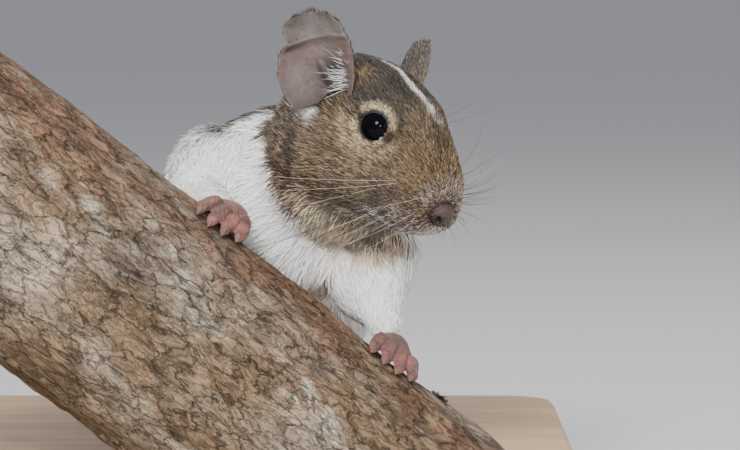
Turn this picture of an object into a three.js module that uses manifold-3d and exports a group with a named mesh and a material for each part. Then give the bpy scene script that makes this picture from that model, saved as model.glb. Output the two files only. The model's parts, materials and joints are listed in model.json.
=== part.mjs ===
// A life-size museum model of a degu that rests its forepaws on a leaning cut branch.
// Millimetres, +Z up, +Y away from the viewer who faces the branch, +X to that viewer's right.
// The origin is the centre of the stand's underside. Left and right are the animal's own.

import * as THREE from "three";
import { mergeVertices } from "three/addons/utils/BufferGeometryUtils.js";
import Module from "manifold-3d";

const wasm = await Module();
wasm.setup();

// Driving sizes
const GAP = 0.3; // clearance between neighbouring pieces
const BASE_SIZE = { x: 178, y: 204, z: 12 };
const BASE_CORNER = 14;
const BASE_EDGE = 1.5;
const BASE_CENTRE = new THREE.Vector3(57, 61, 0); // in the specimen's frame, whose zero is on top of the base
const ROD_RADIUS = 4;
const ROD_PLACE = { x: -15, y: 0 };
const BRANCH_RADIUS = 30;
const BRANCH_SLOPE = 37.8; // degrees below the horizontal, towards +X
const BRANCH_START = { x: -21, z: 83 }; // centre of the upper cut
const HEAD_PLACE = new THREE.Vector3(94.5, 10, 81);
const HEAD_YAW = 43; // degrees from +X towards the viewer
const HEAD_PITCH = 32; // degrees, nose down
const HEAD_ROLL = -5; // degrees, right side up
const EYE_RADIUS = 4.7;
const EYE_PLACE = { forward: 5, side: 10, up: 8 };
const EYE_GAZE = { forward: 0.22, side: 0.93, up: 0.24 };
const LID_RADIUS = 4.0;
const LID_THICKNESS = 0.75;
const EAR_LENGTH = 24;
const EAR_HALF_WIDTH = 9.7;
const EAR_THICKNESS = 1.0;

const X = new THREE.Vector3(1, 0, 0);
const Y = new THREE.Vector3(0, 1, 0);
const Z = new THREE.Vector3(0, 0, 1);
const radians = THREE.MathUtils.degToRad;
const vec = (x, y, z) => new THREE.Vector3(x, y, z);

// Solids

function positionsOnly(geometry) {
  const plain = new THREE.BufferGeometry();
  plain.setAttribute("position", geometry.getAttribute("position").clone());
  if (geometry.index) plain.setIndex(geometry.index.clone());
  return mergeVertices(plain, 1e-4);
}

function signedVolume(geometry) {
  const p = geometry.getAttribute("position");
  const corners = geometry.index.array;
  const [a, b, c] = [vec(0, 0, 0), vec(0, 0, 0), vec(0, 0, 0)];
  let sum = 0;
  for (let i = 0; i < corners.length; i += 3) {
    a.fromBufferAttribute(p, corners[i]);
    b.fromBufferAttribute(p, corners[i + 1]);
    c.fromBufferAttribute(p, corners[i + 2]);
    sum += a.dot(b.cross(c));
  }
  return sum / 6;
}

function solid(geometry) {
  const merged = positionsOnly(geometry);
  const triVerts = new Uint32Array(merged.index.array);
  if (signedVolume(merged) < 0) {
    for (let i = 0; i < triVerts.length; i += 3) {
      [triVerts[i + 1], triVerts[i + 2]] = [triVerts[i + 2], triVerts[i + 1]];
    }
  }
  const vertProperties = new Float32Array(merged.getAttribute("position").array);
  return new wasm.Manifold(new wasm.Mesh({ numProp: 3, vertProperties, triVerts }));
}

function geometryOf(body) {
  const mesh = body.getMesh();
  const geometry = new THREE.BufferGeometry();
  const places = new Float32Array(mesh.numVert * 3);
  for (let i = 0; i < mesh.numVert; i++) {
    places.set(mesh.vertProperties.subarray(i * mesh.numProp, i * mesh.numProp + 3), i * 3);
  }
  geometry.setAttribute("position", new THREE.BufferAttribute(places, 3));
  geometry.setIndex(new THREE.BufferAttribute(new Uint32Array(mesh.triVerts), 1));
  return geometry;
}

// The same solid with its surface moved out by a distance.
function grown(body, distance = GAP) {
  const geometry = positionsOnly(geometryOf(body));
  geometry.computeVertexNormals();
  const p = geometry.getAttribute("position");
  const n = geometry.getAttribute("normal");
  for (let i = 0; i < p.count; i++) {
    p.setXYZ(
      i,
      p.getX(i) + n.getX(i) * distance,
      p.getY(i) + n.getY(i) * distance,
      p.getZ(i) + n.getZ(i) * distance,
    );
  }
  return solid(geometry);
}

const joined = (...bodies) => wasm.Manifold.union(bodies);

function largest(body) {
  return body.decompose().sort((a, b) => b.volume() - a.volume())[0];
}

// What is left of a body beside its neighbours, each with the gap round it.
function clearOf(body, ...neighbours) {
  const rest = neighbours.reduce((left, n) => left.subtract(grown(n)).subtract(n), body);
  return largest(rest.simplify(0.035));
}

// A closed skin over rings of points, with a fan to a point at each end.
function skinOverRings(rings, first, last) {
  const sides = rings[0].length;
  const places = [first, ...rings.flat(), last];
  const index = [];
  const at = (ring, side) => 1 + ring * sides + (side % sides);
  for (let s = 0; s < sides; s++) {
    index.push(0, at(0, s + 1), at(0, s));
    for (let r = 0; r + 1 < rings.length; r++) {
      index.push(at(r, s), at(r, s + 1), at(r + 1, s));
      index.push(at(r, s + 1), at(r + 1, s + 1), at(r + 1, s));
    }
    index.push(at(rings.length - 1, s), at(rings.length - 1, s + 1), places.length - 1);
  }
  const geometry = new THREE.BufferGeometry().setFromPoints(places);
  geometry.setIndex(index);
  return geometry;
}

// How full a rounded end is at a share t of the length, when each end takes a share of it.
function endFullness(t, startShare, endShare) {
  const start = Math.min(1, t / startShare);
  const end = Math.min(1, (1 - t) / endShare);
  return Math.sqrt(1 - (1 - start) ** 2) * Math.sqrt(1 - (1 - end) ** 2);
}

// A limb or trunk: oval sections along a smooth path. Each station is
// { at, side, up, down, roll } with half sizes in millimetres and the roll in degrees.
function limb(stations, { steps, sides, sideways = X, startShare = 0.2, endShare = 0.2 }) {
  const path = new THREE.CatmullRomCurve3(stations.map((s) => s.at));
  const sizes = new THREE.CatmullRomCurve3(stations.map((s) => vec(s.side, s.up ?? s.side, s.down ?? s.up ?? s.side)));
  const rolls = new THREE.CatmullRomCurve3(stations.map((s) => vec(s.roll ?? 0, 0, 0)));
  const rings = [];
  for (let i = 1; i < steps; i++) {
    const t = (1 - Math.cos((Math.PI * i) / steps)) / 2;
    const centre = path.getPoint(t);
    const along = path.getTangent(t);
    const size = sizes.getPoint(t).multiplyScalar(endFullness(t, startShare, endShare));
    const across = sideways.clone().addScaledVector(along, -sideways.dot(along)).normalize();
    const roll = radians(rolls.getPoint(t).x);
    across.applyAxisAngle(along, roll);
    const upright = across.clone().cross(along).normalize();
    if (upright.z < 0) upright.negate();
    rings.push(ringOf(sides, (c, s) => {
      const height = s > 0 ? size.y : size.z;
      return centre.clone().addScaledVector(across, c * size.x).addScaledVector(upright, s * height);
    }));
  }
  return solid(skinOverRings(rings, path.getPoint(0), path.getPoint(1)));
}

function ringOf(sides, place) {
  return Array.from({ length: sides }, (_, k) => {
    const angle = (2 * Math.PI * k) / sides;
    return place(Math.cos(angle), Math.sin(angle));
  });
}

function ball(centre, radius, { segments = 16, stretch = vec(1, 1, 1), turn = new THREE.Quaternion() } = {}) {
  const geometry = new THREE.SphereGeometry(radius, segments, Math.round(segments * 0.7));
  geometry.scale(stretch.x, stretch.y, stretch.z).applyQuaternion(turn).translate(centre.x, centre.y, centre.z);
  return solid(geometry);
}

// Branch: a cut length of a log with irregular bark, its lower end sawn level with the base.

const slope = radians(BRANCH_SLOPE);
const branchAlong = vec(Math.cos(slope), 0, -Math.sin(slope));
const branchOut = vec(Math.sin(slope), 0, Math.cos(slope)); // square to the branch, up
const branchStart = vec(BRANCH_START.x, 0, BRANCH_START.z);

// Bark relief: long ridges that wander along the branch, with a knot.
function barkRelief(distance, angle) {
  const wander = 0.35 * Math.sin(distance / 23) + 0.2 * Math.sin(distance / 9 + 1);
  const swell = 0.7 * Math.sin(distance / 31 + 0.6) + 0.5 * Math.sin(2 * angle + distance / 40);
  const ridges = 0.42 * Math.sin(9 * (angle + wander)) + 0.25 * Math.sin(14 * angle - distance / 12);
  const knotAway = ((distance - 62) / 11) ** 2 + ((angle + 1.1) / 0.35) ** 2;
  return swell + ridges + 1.4 * Math.exp(-knotAway);
}

const branchPoint = (distance, angle, radius) =>
  branchStart
    .clone()
    .addScaledVector(branchAlong, distance)
    .addScaledVector(branchOut, radius * Math.cos(angle))
    .addScaledVector(Y, radius * Math.sin(angle));

function branchBody() {
  const length = 230;
  const steps = 34;
  const sides = 34;
  const rings = [];
  for (let i = 0; i <= steps; i++) {
    const distance = (length * i) / steps;
    rings.push(Array.from({ length: sides }, (_, k) => {
      const angle = (2 * Math.PI * k) / sides;
      return branchPoint(distance, angle, BRANCH_RADIUS + barkRelief(distance, angle));
    }));
  }
  const whole = solid(skinOverRings(rings, branchPoint(0, 0, 0), branchPoint(length, 0, 0)));
  return whole.trimByPlane([0, 0, 1], GAP);
}

// Head, in its own frame: x forward, y to the animal's left, z up

const headTurn = new THREE.Quaternion().setFromEuler(
  new THREE.Euler(radians(HEAD_ROLL), radians(HEAD_PITCH), -radians(HEAD_YAW), "ZYX"),
);
const headMatrix = new THREE.Matrix4().compose(HEAD_PLACE, headTurn, vec(1, 1, 1));
const placed = (body) => body.transform(headMatrix.elements);

// Stations of the head from the nape to the muzzle: forward place, half width,
// height of the widest line, crown and jaw heights.
const HEAD_STATIONS = [
  { forward: -25.5, wide: 8.0, widest: -3.5, crown: 6.5, jaw: -13.0 },
  { forward: -22.5, wide: 14.0, widest: -5.5, crown: 12.0, jaw: -18.5 },
  { forward: -17.0, wide: 17.5, widest: -6.8, crown: 15.8, jaw: -21.6 },
  { forward: -9.0, wide: 18.2, widest: -7.0, crown: 17.8, jaw: -22.0 },
  { forward: -1.0, wide: 16.8, widest: -6.4, crown: 18.0, jaw: -20.2 },
  { forward: 6.0, wide: 14.4, widest: -5.6, crown: 16.8, jaw: -17.8 },
  { forward: 13.0, wide: 11.8, widest: -5.0, crown: 14.0, jaw: -15.2 },
  { forward: 19.0, wide: 10.2, widest: -4.6, crown: 10.8, jaw: -12.8 },
  { forward: 23.5, wide: 8.9, widest: -4.2, crown: 7.3, jaw: -10.8 },
  { forward: 26.6, wide: 6.3, widest: -3.8, crown: 3.2, jaw: -8.5 },
];
// Powers of the oval section above and below its widest line; under 1 they square it.
const CROWN_POWERS = { wide: 0.7, high: 0.86 };
const JAW_POWERS = { wide: 0.92, high: 0.96 };
const NOSE_END = vec(27.8, 0, -3.0);
const NAPE_END = vec(-26.6, 0, -3.4);

// Soft swellings and hollows of the head: where, how wide, how high. Mirrored to both sides.
const HEAD_SWELLINGS = [
  { at: vec(21, 7, -4.5), reach: 4.8, height: 1.4 }, // whisker pad
  { at: vec(-6, 15, -9), reach: 8, height: 0.9 }, // cheek
  { at: vec(5.2, 9, 12.2), reach: 4, height: 0.8 }, // brow
  { at: vec(11.5, 9, 4), reach: 3.6, height: -0.8 }, // hollow before the eye
  { at: vec(-9.5, 15.4, 5.5), reach: 5, height: -3 }, // hollow before the ear
  { at: vec(17, 4.5, -10.5), reach: 3.2, height: 0.5 }, // jaw
];

function headSurface() {
  const column = (name) => HEAD_STATIONS.map((s) => s[name]);
  const first = new THREE.CatmullRomCurve3(
    HEAD_STATIONS.map((s) => vec(s.forward, s.wide, s.widest)),
  );
  const second = new THREE.CatmullRomCurve3(
    column("crown").map((crown, i) => vec(crown, HEAD_STATIONS[i].jaw, 0)),
  );
  const steps = 27;
  const sides = 28;
  const rings = [];
  for (let i = 0; i <= steps; i++) {
    const t = i / steps;
    const a = first.getPoint(t);
    const b = second.getPoint(t);
    rings.push(ringOf(sides, (c, s) => {
      const height = s > 0 ? b.x - a.z : a.z - b.y;
      const powers = s > 0 ? CROWN_POWERS : JAW_POWERS;
      const aside = Math.sign(c) * Math.abs(c) ** powers.wide * a.y;
      return vec(a.x, aside, a.z + Math.sign(s) * Math.abs(s) ** powers.high * height);
    }));
  }
  const geometry = positionsOnly(skinOverRings(rings, NAPE_END, NOSE_END));
  geometry.computeVertexNormals();
  const p = geometry.getAttribute("position");
  const n = geometry.getAttribute("normal");
  const flip = signedVolume(geometry) < 0 ? -1 : 1;
  for (let i = 0; i < p.count; i++) {
    const here = vec(p.getX(i), Math.abs(p.getY(i)), p.getZ(i));
    const lift = HEAD_SWELLINGS.reduce(
      (sum, bump) => sum + bump.height * Math.exp(-((here.distanceTo(bump.at) / bump.reach) ** 2)),
      0,
    );
    p.setXYZ(
      i,
      p.getX(i) + n.getX(i) * lift * flip,
      p.getY(i) + n.getY(i) * lift * flip,
      p.getZ(i) + n.getZ(i) * lift * flip,
    );
  }
  return solid(geometry);
}

const eyeCentre = (side) => vec(EYE_PLACE.forward, side * EYE_PLACE.side, EYE_PLACE.up);
const eyeGaze = (side) => vec(EYE_GAZE.forward, side * EYE_GAZE.side, EYE_GAZE.up).normalize();

const eyeball = (side) => ball(eyeCentre(side), EYE_RADIUS, { segments: 14 });

// The two lids: a rounded rim that hugs the eyeball and dips to the front corner.
function lids(side) {
  const ring = new THREE.TorusGeometry(LID_RADIUS, LID_THICKNESS, 7, 24);
  ring.scale(1, 0.94, 1.2);
  const turn = new THREE.Quaternion().setFromUnitVectors(Z, eyeGaze(side));
  const reach = Math.sqrt(EYE_RADIUS ** 2 - LID_RADIUS ** 2);
  const centre = eyeCentre(side).addScaledVector(eyeGaze(side), reach);
  ring.applyQuaternion(turn).translate(centre.x, centre.y, centre.z);
  return solid(ring);
}

// A groove or ridge: a round bar along a smooth line.
function bar(points, radius, steps = 12, sides = 6) {
  const stations = points.map((at) => ({ at, side: radius }));
  return limb(stations, { steps, sides, sideways: vec(0.3, 0.2, 1), startShare: 0.08, endShare: 0.08 });
}

const NOSE_PLACE = vec(26.6, 0, -2.4);
const nosePad = () => {
  const turn = new THREE.Quaternion().setFromAxisAngle(Y, radians(18));
  const body = ball(NOSE_PLACE, 1, { segments: 14, stretch: vec(2.6, 3.8, 2.8), turn });
  return [-1, 1].reduce((left, side) => left.subtract(nostril(side)), body);
};

function nostril(side) {
  const turn = new THREE.Quaternion().setFromAxisAngle(X, radians(side * -32));
  return ball(vec(28.7, side * 2.0, -3.1), 1, { segments: 10, stretch: vec(1.5, 0.6, 1.1), turn });
}

function headBody(noseSolid) {
  const mouth = [-1, 1].map((side) =>
    bar(
      [
        vec(25.4, 0, -7.9),
        vec(23.6, side * 3.2, -9.9),
        vec(19.5, side * 6.8, -12.0),
        vec(14.5, side * 9.2, -11.6),
      ],
      0.9,
    ),
  );
  const philtrum = bar([vec(27.6, 0, -4.6), vec(26.9, 0, -6.6), vec(25.2, 0, -8.2)], 0.55, 6);
  const grooves = joined(...mouth, philtrum).simplify(0.05);
  const sockets = joined(grown(eyeball(1)), grown(eyeball(-1)), grown(noseSolid));
  const body = joined(headSurface(), lids(1), lids(-1)).subtract(grooves).subtract(sockets);
  return largest(body.simplify(0.04));
}

// Ear: a thin cupped leaf on a short funnel. u runs from the rear edge (-1) to the
// front edge (1), v from the root (0) to the tip (1).
const EAR_OUTLINE = new THREE.CatmullRomCurve3(
  [0.76, 0.92, 1.0, 1.0, 0.98, 0.94, 0.88].map((w, i) => vec(w, i, 0)),
);
const EAR_TIP_FROM = 0.6; // where the round tip begins

function earPoint(u, v, lift) {
  const fullness = Math.sqrt(1 - Math.max(0, (v - EAR_TIP_FROM) / (1 - EAR_TIP_FROM)) ** 2);
  const wide = EAR_HALF_WIDTH * EAR_OUTLINE.getPoint(v).x * fullness;
  const notch = 1 - 0.14 * Math.exp(-(((v - 0.7) / 0.05) ** 2)) * Math.max(0, -u);
  const across = u * wide * notch;
  const cup = 5.2 * (u * u - 0.55) * (1 - 0.55 * v) + (u < 0 ? 0.8 * u * u * v : 0);
  const bend = -5.5 * Math.sin(Math.PI * 0.5 * v) * v + 2.2 * v * v * v;
  return vec(across, EAR_LENGTH * v, cup + bend + lift);
}

function earBody(side) {
  const across = 12;
  const along = 11;
  const rows = [];
  for (const face of [0.5, -0.5]) {
    rows.push(
      Array.from({ length: along + 1 }, (_, j) =>
        Array.from({ length: across + 1 }, (_, i) => {
          const u = Math.sin(((i / across) * 2 - 1) * (Math.PI / 2));
          const v = 0.992 * (1 - (1 - j / along) ** 1.5);
          const rim = 1 - 0.55 * Math.max(Math.abs(u) ** 6, (j / along) ** 6);
          return earPoint(u, v, face * EAR_THICKNESS * rim * 1.2);
        }),
      ),
    );
  }
  // The edge shared by both faces closes the leaf as one loop of quads
  const places = rows.flat(2);
  const count = (across + 1) * (along + 1);
  const at = (face, j, i) => face * count + j * (across + 1) + i;
  const index = [];
  const quad = (a, b, c, d) => index.push(a, b, c, a, c, d);
  for (let j = 0; j < along; j++) {
    for (let i = 0; i < across; i++) {
      quad(at(0, j, i), at(0, j, i + 1), at(0, j + 1, i + 1), at(0, j + 1, i));
      quad(at(1, j, i), at(1, j + 1, i), at(1, j + 1, i + 1), at(1, j, i + 1));
    }
    quad(at(0, j, 0), at(0, j + 1, 0), at(1, j + 1, 0), at(1, j, 0));
    quad(at(0, j, across), at(1, j, across), at(1, j + 1, across), at(0, j + 1, across));
  }
  for (let i = 0; i < across; i++) {
    quad(at(0, 0, i), at(1, 0, i), at(1, 0, i + 1), at(0, 0, i + 1));
    quad(at(0, along, i), at(0, along, i + 1), at(1, along, i + 1), at(1, along, i));
  }
  const geometry = new THREE.BufferGeometry().setFromPoints(places);
  geometry.setIndex(index);
  if (side > 0) geometry.scale(-1, 1, 1);
  const base = ball(EAR_BASE.centre, 1, { segments: 10, stretch: EAR_BASE.halfSizes });
  return joined(solid(geometry), base).transform(earMatrix(side).elements);
}

// The swelling behind the leaf that carries it, in the leaf's own frame.
const EAR_BASE = { centre: vec(0, 4.5, -5.2), halfSizes: vec(5.5, 5.8, 2.2) };

// The right ear stands up, the left one is laid back.
const EAR_SET = {
  right: { root: vec(-9.2, -16.8, 4.2), opens: vec(0.66, -0.72, 0.1), points: vec(-0.45, -0.28, 0.85) },
  left: { root: vec(-10.8, 15.0, 4.3), opens: vec(0.8, 0.6, -0.1), points: vec(-0.5, 0.74, 0.44) },
};

function earMatrix(side) {
  const set = side > 0 ? EAR_SET.left : EAR_SET.right;
  const opens = set.opens.clone().normalize();
  const points = set.points.clone().addScaledVector(opens, -set.points.dot(opens)).normalize();
  const across = points.clone().cross(opens).normalize();
  return new THREE.Matrix4().makeBasis(across, points, opens).setPosition(set.root);
}

// Trunk, in the specimen's frame

function torsoBody() {
  return limb(
    [
      { at: vec(84, 17, 66), side: 15, up: 16, down: 17, roll: 20 },
      { at: vec(79, 29, 66), side: 22, up: 23, down: 22, roll: 18 },
      { at: vec(72, 46, 64), side: 25, up: 27, down: 26, roll: 12 },
      { at: vec(63, 70, 57), side: 28, up: 28, down: 28, roll: 6 },
      { at: vec(55, 94, 47), side: 29, up: 28, down: 27, roll: 0 },
      { at: vec(48, 114, 37), side: 24, up: 24, down: 21, roll: 0 },
      { at: vec(44, 128, 29), side: 11, up: 11, down: 11, roll: 0 },
    ],
    { steps: 24, sides: 22, sideways: X, startShare: 0.12, endShare: 0.12 },
  );
}

function neckBody() {
  return limb(
    [
      { at: vec(97, 6, 80), side: 13, up: 13, down: 14 },
      { at: vec(88, 17, 77), side: 17, up: 16, down: 18 },
      { at: vec(79, 31, 71), side: 20, up: 20, down: 20 },
      { at: vec(73, 43, 66), side: 20, up: 21, down: 20 },
    ],
    { steps: 12, sides: 18, sideways: X, startShare: 0.2, endShare: 0.2 },
  );
}

// Forelegs: shoulder, elbow and wrist, then a hand that lies on the bark
const FORELEGS = {
  right: {
    arm: [
      { at: vec(60, 46, 75), side: 13, up: 16 },
      { at: vec(53, 35, 72), side: 12.5, up: 14 },
      { at: vec(48, 24, 67), side: 9 },
      { at: vec(52, 15, 66), side: 6 },
      { at: vec(57.0, 9.5, 64.5), side: 4.0 },
    ],
    grip: 74.3,
    turn: -6,
  },
  left: {
    arm: [
      { at: vec(90, 41, 62), side: 14, up: 17 },
      { at: vec(91, 34, 51), side: 14, up: 14 },
      { at: vec(92.5, 24, 44), side: 10.2 },
      { at: vec(95.5, 15.5, 38), side: 5.6 },
      { at: vec(97, 9.5, 32.5), side: 3.6 },
    ],
    grip: 126.7,
    turn: 6,
  },
};

const forelegBody = ({ arm }) =>
  limb(arm, { steps: 14, sides: 14, sideways: branchAlong, startShare: 0.25, endShare: 0.12 });

// A point over the bark: distance along the branch, degrees over its top towards the
// viewer, height over the bark.
function overBark(distance, degrees, height) {
  const angle = -radians(degrees);
  return branchPoint(distance, angle, BRANCH_RADIUS + barkRelief(distance, angle) + height);
}

const FINGER_SPREAD = [-5.0, -1.7, 1.6, 4.8];
const FINGER_REACH = [14, 17.5, 18, 14.5]; // degrees over the branch

function forepawBody({ grip, turn }, side) {
  const palm = limb(
    [
      { at: overBark(grip, -20, 4.6), side: 3.6, up: 3.2 },
      { at: overBark(grip, -12, 3.4), side: 4.3, up: 2.6 },
      { at: overBark(grip, -4, 2.5), side: 5.6, up: 2.2 },
      { at: overBark(grip, 3, 2.0), side: 5.4, up: 1.9 },
    ],
    { steps: 9, sides: 12, sideways: branchAlong, startShare: 0.2, endShare: 0.3 },
  );
  const fingers = FINGER_SPREAD.map((spread, i) => {
    const reach = FINGER_REACH[i];
    const out = spread * 1.2 + turn * 0.2;
    return limb(
      [
        { at: overBark(grip + spread * 0.85, -2, 2.4), side: 1.6 },
        { at: overBark(grip + (spread * 0.85 + out) / 2, reach * 0.35, 2.9), side: 1.65 },
        { at: overBark(grip + out, reach * 0.74, 2.0), side: 1.5 },
        { at: overBark(grip + out, reach, 1.4), side: 1.15 },
        { at: overBark(grip + out, reach + 4.4, 0.5), side: 0.3 },
      ],
      { steps: 8, sides: 6, sideways: branchAlong, startShare: 0.1, endShare: 0.12 },
    );
  });
  const thumb = limb(
    [
      { at: overBark(grip + side * 3.2, -12, 2.4), side: 1.3 },
      { at: overBark(grip + side * 5.4, -9, 1.5), side: 1.0 },
      { at: overBark(grip + side * 6.4, -7.5, 1.1), side: 0.6 },
    ],
    { steps: 6, sides: 6, sideways: Y, startShare: 0.1, endShare: 0.3 },
  );
  return joined(palm, ...fingers, thumb);
}

// Hind legs: thigh, shank and a long flat foot with four toes and a small inner one
const HINDLEGS = {
  right: {
    thigh: [
      { at: vec(41, 110, 52), side: 13, up: 19 },
      { at: vec(34, 102, 43), side: 13.5, up: 21 },
      { at: vec(30, 90, 32), side: 11, up: 16 },
      { at: vec(29, 81, 25), side: 7.5, up: 9 },
    ],
    shank: [
      { at: vec(31, 84, 25), side: 7.5 },
      { at: vec(32, 96, 17), side: 6.2 },
      { at: vec(33, 107, 9.5), side: 4.4 },
    ],
    heel: vec(33.5, 109, 0),
    toes: vec(27, 76, 0),
  },
  left: {
    thigh: [
      { at: vec(67, 112, 52), side: 13, up: 19 },
      { at: vec(75, 105, 43), side: 13.5, up: 21 },
      { at: vec(82, 93, 32), side: 11, up: 16 },
      { at: vec(84, 84, 25), side: 7.5, up: 9 },
    ],
    shank: [
      { at: vec(83, 87, 25), side: 7.5 },
      { at: vec(80, 99, 17), side: 6.2 },
      { at: vec(77, 110, 9.5), side: 4.4 },
    ],
    heel: vec(76.5, 112, 0),
    toes: vec(84, 79, 0),
  },
};

function hindlegBody({ thigh, shank }) {
  const upper = limb(thigh, { steps: 12, sides: 16, sideways: X, startShare: 0.3, endShare: 0.3 });
  const lower = limb(shank, { steps: 9, sides: 12, sideways: X, startShare: 0.3, endShare: 0.15 });
  return joined(upper, lower);
}

const TOE_SPREAD = [-5.0, -2.0, 1.2, 4.2];
const TOE_REACH = [7.5, 10.5, 10.5, 8.5];
const SOLE_LENGTH = 24.5;

function hindfootBody({ heel, toes }, side) {
  const along = toes.clone().sub(heel).normalize();
  const across = Z.clone().cross(along).multiplyScalar(-side);
  const place = (forward, aside, height) =>
    heel.clone().setZ(height).addScaledVector(along, forward).addScaledVector(across, aside);
  const sole = limb(
    [
      { at: place(-2.5, 0, 4.4), side: 3.4, up: 3.6 },
      { at: place(5, 0, 3.9), side: 4.0, up: 3.4 },
      { at: place(15, 0, 3.3), side: 4.8, up: 2.9 },
      { at: place(23.5, -0.4, 2.6), side: 5.6, up: 2.3 },
      { at: place(26.5, -0.4, 2.2), side: 5.2, up: 1.9 },
    ],
    { steps: 12, sides: 12, sideways: X, startShare: 0.12, endShare: 0.12 },
  );
  const digits = TOE_SPREAD.map((spread, i) => {
    const reach = SOLE_LENGTH + TOE_REACH[i];
    const out = spread * 1.35;
    return limb(
      [
        { at: place(22, spread * 0.8, 2.3), side: 1.7 },
        { at: place(26.5, (spread * 0.8 + out) / 2, 2.9), side: 1.55 },
        { at: place(reach - 3.2, out, 1.9), side: 1.35 },
        { at: place(reach - 0.6, out, 1.5), side: 0.95 },
        { at: place(reach + 2.0, out, 0.7), side: 0.3 },
      ],
      { steps: 7, sides: 6, sideways: X, startShare: 0.1, endShare: 0.12 },
    );
  });
  const inner = limb(
    [
      { at: place(14, -3.6, 2.2), side: 1.4 },
      { at: place(18.5, -6.4, 1.8), side: 1.1 },
      { at: place(20.5, -7.0, 1.0), side: 0.4 },
    ],
    { steps: 6, sides: 6, sideways: X, startShare: 0.1, endShare: 0.2 },
  );
  return largest(joined(sole, ...digits, inner).trimByPlane([0, 0, 1], GAP));
}

// Tail: down from the rump and round on the base, in a few lengths
const TAIL_PATH = new THREE.CatmullRomCurve3([
  vec(46, 124, 33),
  vec(45, 137, 25),
  vec(50, 147, 13),
  vec(62, 151, 5.4),
  vec(80, 147, 3.9),
  vec(96, 135, 3.7),
  vec(106, 119, 3.8),
  vec(110, 101, 4.4),
  vec(109, 84, 5.4),
]);
const TAIL_RADII = new THREE.CatmullRomCurve3(
  [5.4, 4.4, 3.7, 3.4, 3.2, 3.1, 3.3, 4.0, 2.0].map((r) => vec(r, 0, 0)),
);
const TAIL_LENGTHS = [
  { name: "tail_base", from: 0, to: 0.27 },
  { name: "tail_middle", from: 0.27, to: 0.5 },
  { name: "tail_end", from: 0.5, to: 0.73 },
  { name: "tail_brush", from: 0.73, to: 1 },
];

function tailBody({ from, to }, fullness = 1) {
  const halfGap = GAP / 2 / TAIL_PATH.getLength();
  const sides = 10;
  const steps = 6;
  const rings = [];
  for (let i = 0; i <= steps; i++) {
    const t = from + halfGap + ((to - from - 2 * halfGap) * i) / steps;
    const centre = TAIL_PATH.getPointAt(t);
    const along = TAIL_PATH.getTangentAt(t);
    const across = Z.clone().cross(along).normalize();
    const upright = along.clone().cross(across);
    const radius = TAIL_RADII.getPoint(t).x * fullness * (t > 0.99 ? 0.4 : 1);
    rings.push(ringOf(sides, (c, s) =>
      centre.clone().addScaledVector(across, c * radius).addScaledVector(upright, s * radius)));
  }
  const ends = [from + halfGap, to - halfGap].map((t) => TAIL_PATH.getPointAt(t));
  return solid(skinOverRings(rings, ends[0], ends[1])).trimByPlane([0, 0, 1], GAP);
}

// Brush of the tail: bristly locks round a thin core, fanned out towards the tip
const BRUSH_LOCKS = 26;
const BRUSH_LENGTH = 15;
const BRUSH_CORE = 0.75; // the core's share of the plain tail's radius
const LOCK_WIDTH = 1.5; // half sizes at the widest place
const LOCK_THICKNESS = 0.75;
const TURN_STEP = 137.5; // degrees from each lock to the next

// Repeatable numbers from 0 to 1.
function randomSource(seed) {
  let state = seed;
  return () => {
    state = (state * 1664525 + 1013904223) % 4294967296;
    return state / 4294967296;
  };
}

function brushLock(root, along, out, length, lift) {
  const aside = along.clone().cross(out).normalize();
  const shares = [0, 0.3, 0.62, 0.85, 1];
  const widths = [0.6, 1, 0.8, 0.5, 0.15];
  const stations = shares.map((t, i) => ({
    at: root
      .clone()
      .addScaledVector(along, length * t * Math.cos(lift))
      .addScaledVector(out, length * Math.sin(lift) * t * (1 - 0.35 * t)),
    side: LOCK_WIDTH * widths[i],
    up: LOCK_THICKNESS * Math.max(widths[i], 0.35),
  }));
  return limb(stations, { steps: 5, sides: 4, sideways: aside, startShare: 0.1, endShare: 0.15 });
}

function brushBody({ from, to }) {
  const random = randomSource(7);
  const core = tailBody({ from, to }, BRUSH_CORE);
  const locks = Array.from({ length: BRUSH_LOCKS }, (_, i) => {
    const share = i / (BRUSH_LOCKS - 1);
    const t = from + 0.03 + (to - from - 0.05) * share;
    const along = TAIL_PATH.getTangentAt(t);
    const turn = radians(i * TURN_STEP + 20 * random());
    const out = Z.clone().addScaledVector(along, -along.z).normalize().applyAxisAngle(along, turn);
    const reach = TAIL_RADII.getPoint(t).x * BRUSH_CORE * 0.55;
    const root = TAIL_PATH.getPointAt(t).addScaledVector(out, reach);
    const length = BRUSH_LENGTH * (0.75 + 0.25 * share) * (0.85 + 0.3 * random());
    const lift = radians(11 + 8 * random() - Math.max(0, -out.z) * 10);
    return brushLock(root, along, out, length, lift);
  });
  return largest(joined(core, ...locks).trimByPlane([0, 0, 1], GAP).simplify(0.03));
}

// Stand: a flat board with rounded corners and one rod up to the branch's raised end

function standBase() {
  const [w, d] = [BASE_SIZE.x / 2 - BASE_EDGE, BASE_SIZE.y / 2 - BASE_EDGE];
  const r = BASE_CORNER;
  const outline = new THREE.Shape();
  outline.absarc(w - r, -d + r, r, -Math.PI / 2, 0);
  outline.absarc(w - r, d - r, r, 0, Math.PI / 2);
  outline.absarc(-w + r, d - r, r, Math.PI / 2, Math.PI);
  outline.absarc(-w + r, -d + r, r, Math.PI, 1.5 * Math.PI);
  const geometry = new THREE.ExtrudeGeometry(outline, {
    depth: BASE_SIZE.z - 2 * BASE_EDGE,
    bevelThickness: BASE_EDGE,
    bevelSize: BASE_EDGE,
    bevelSegments: 1,
    curveSegments: 5,
  });
  geometry.translate(BASE_CENTRE.x, BASE_CENTRE.y, BASE_EDGE - BASE_SIZE.z);
  return solid(geometry);
}

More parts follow.
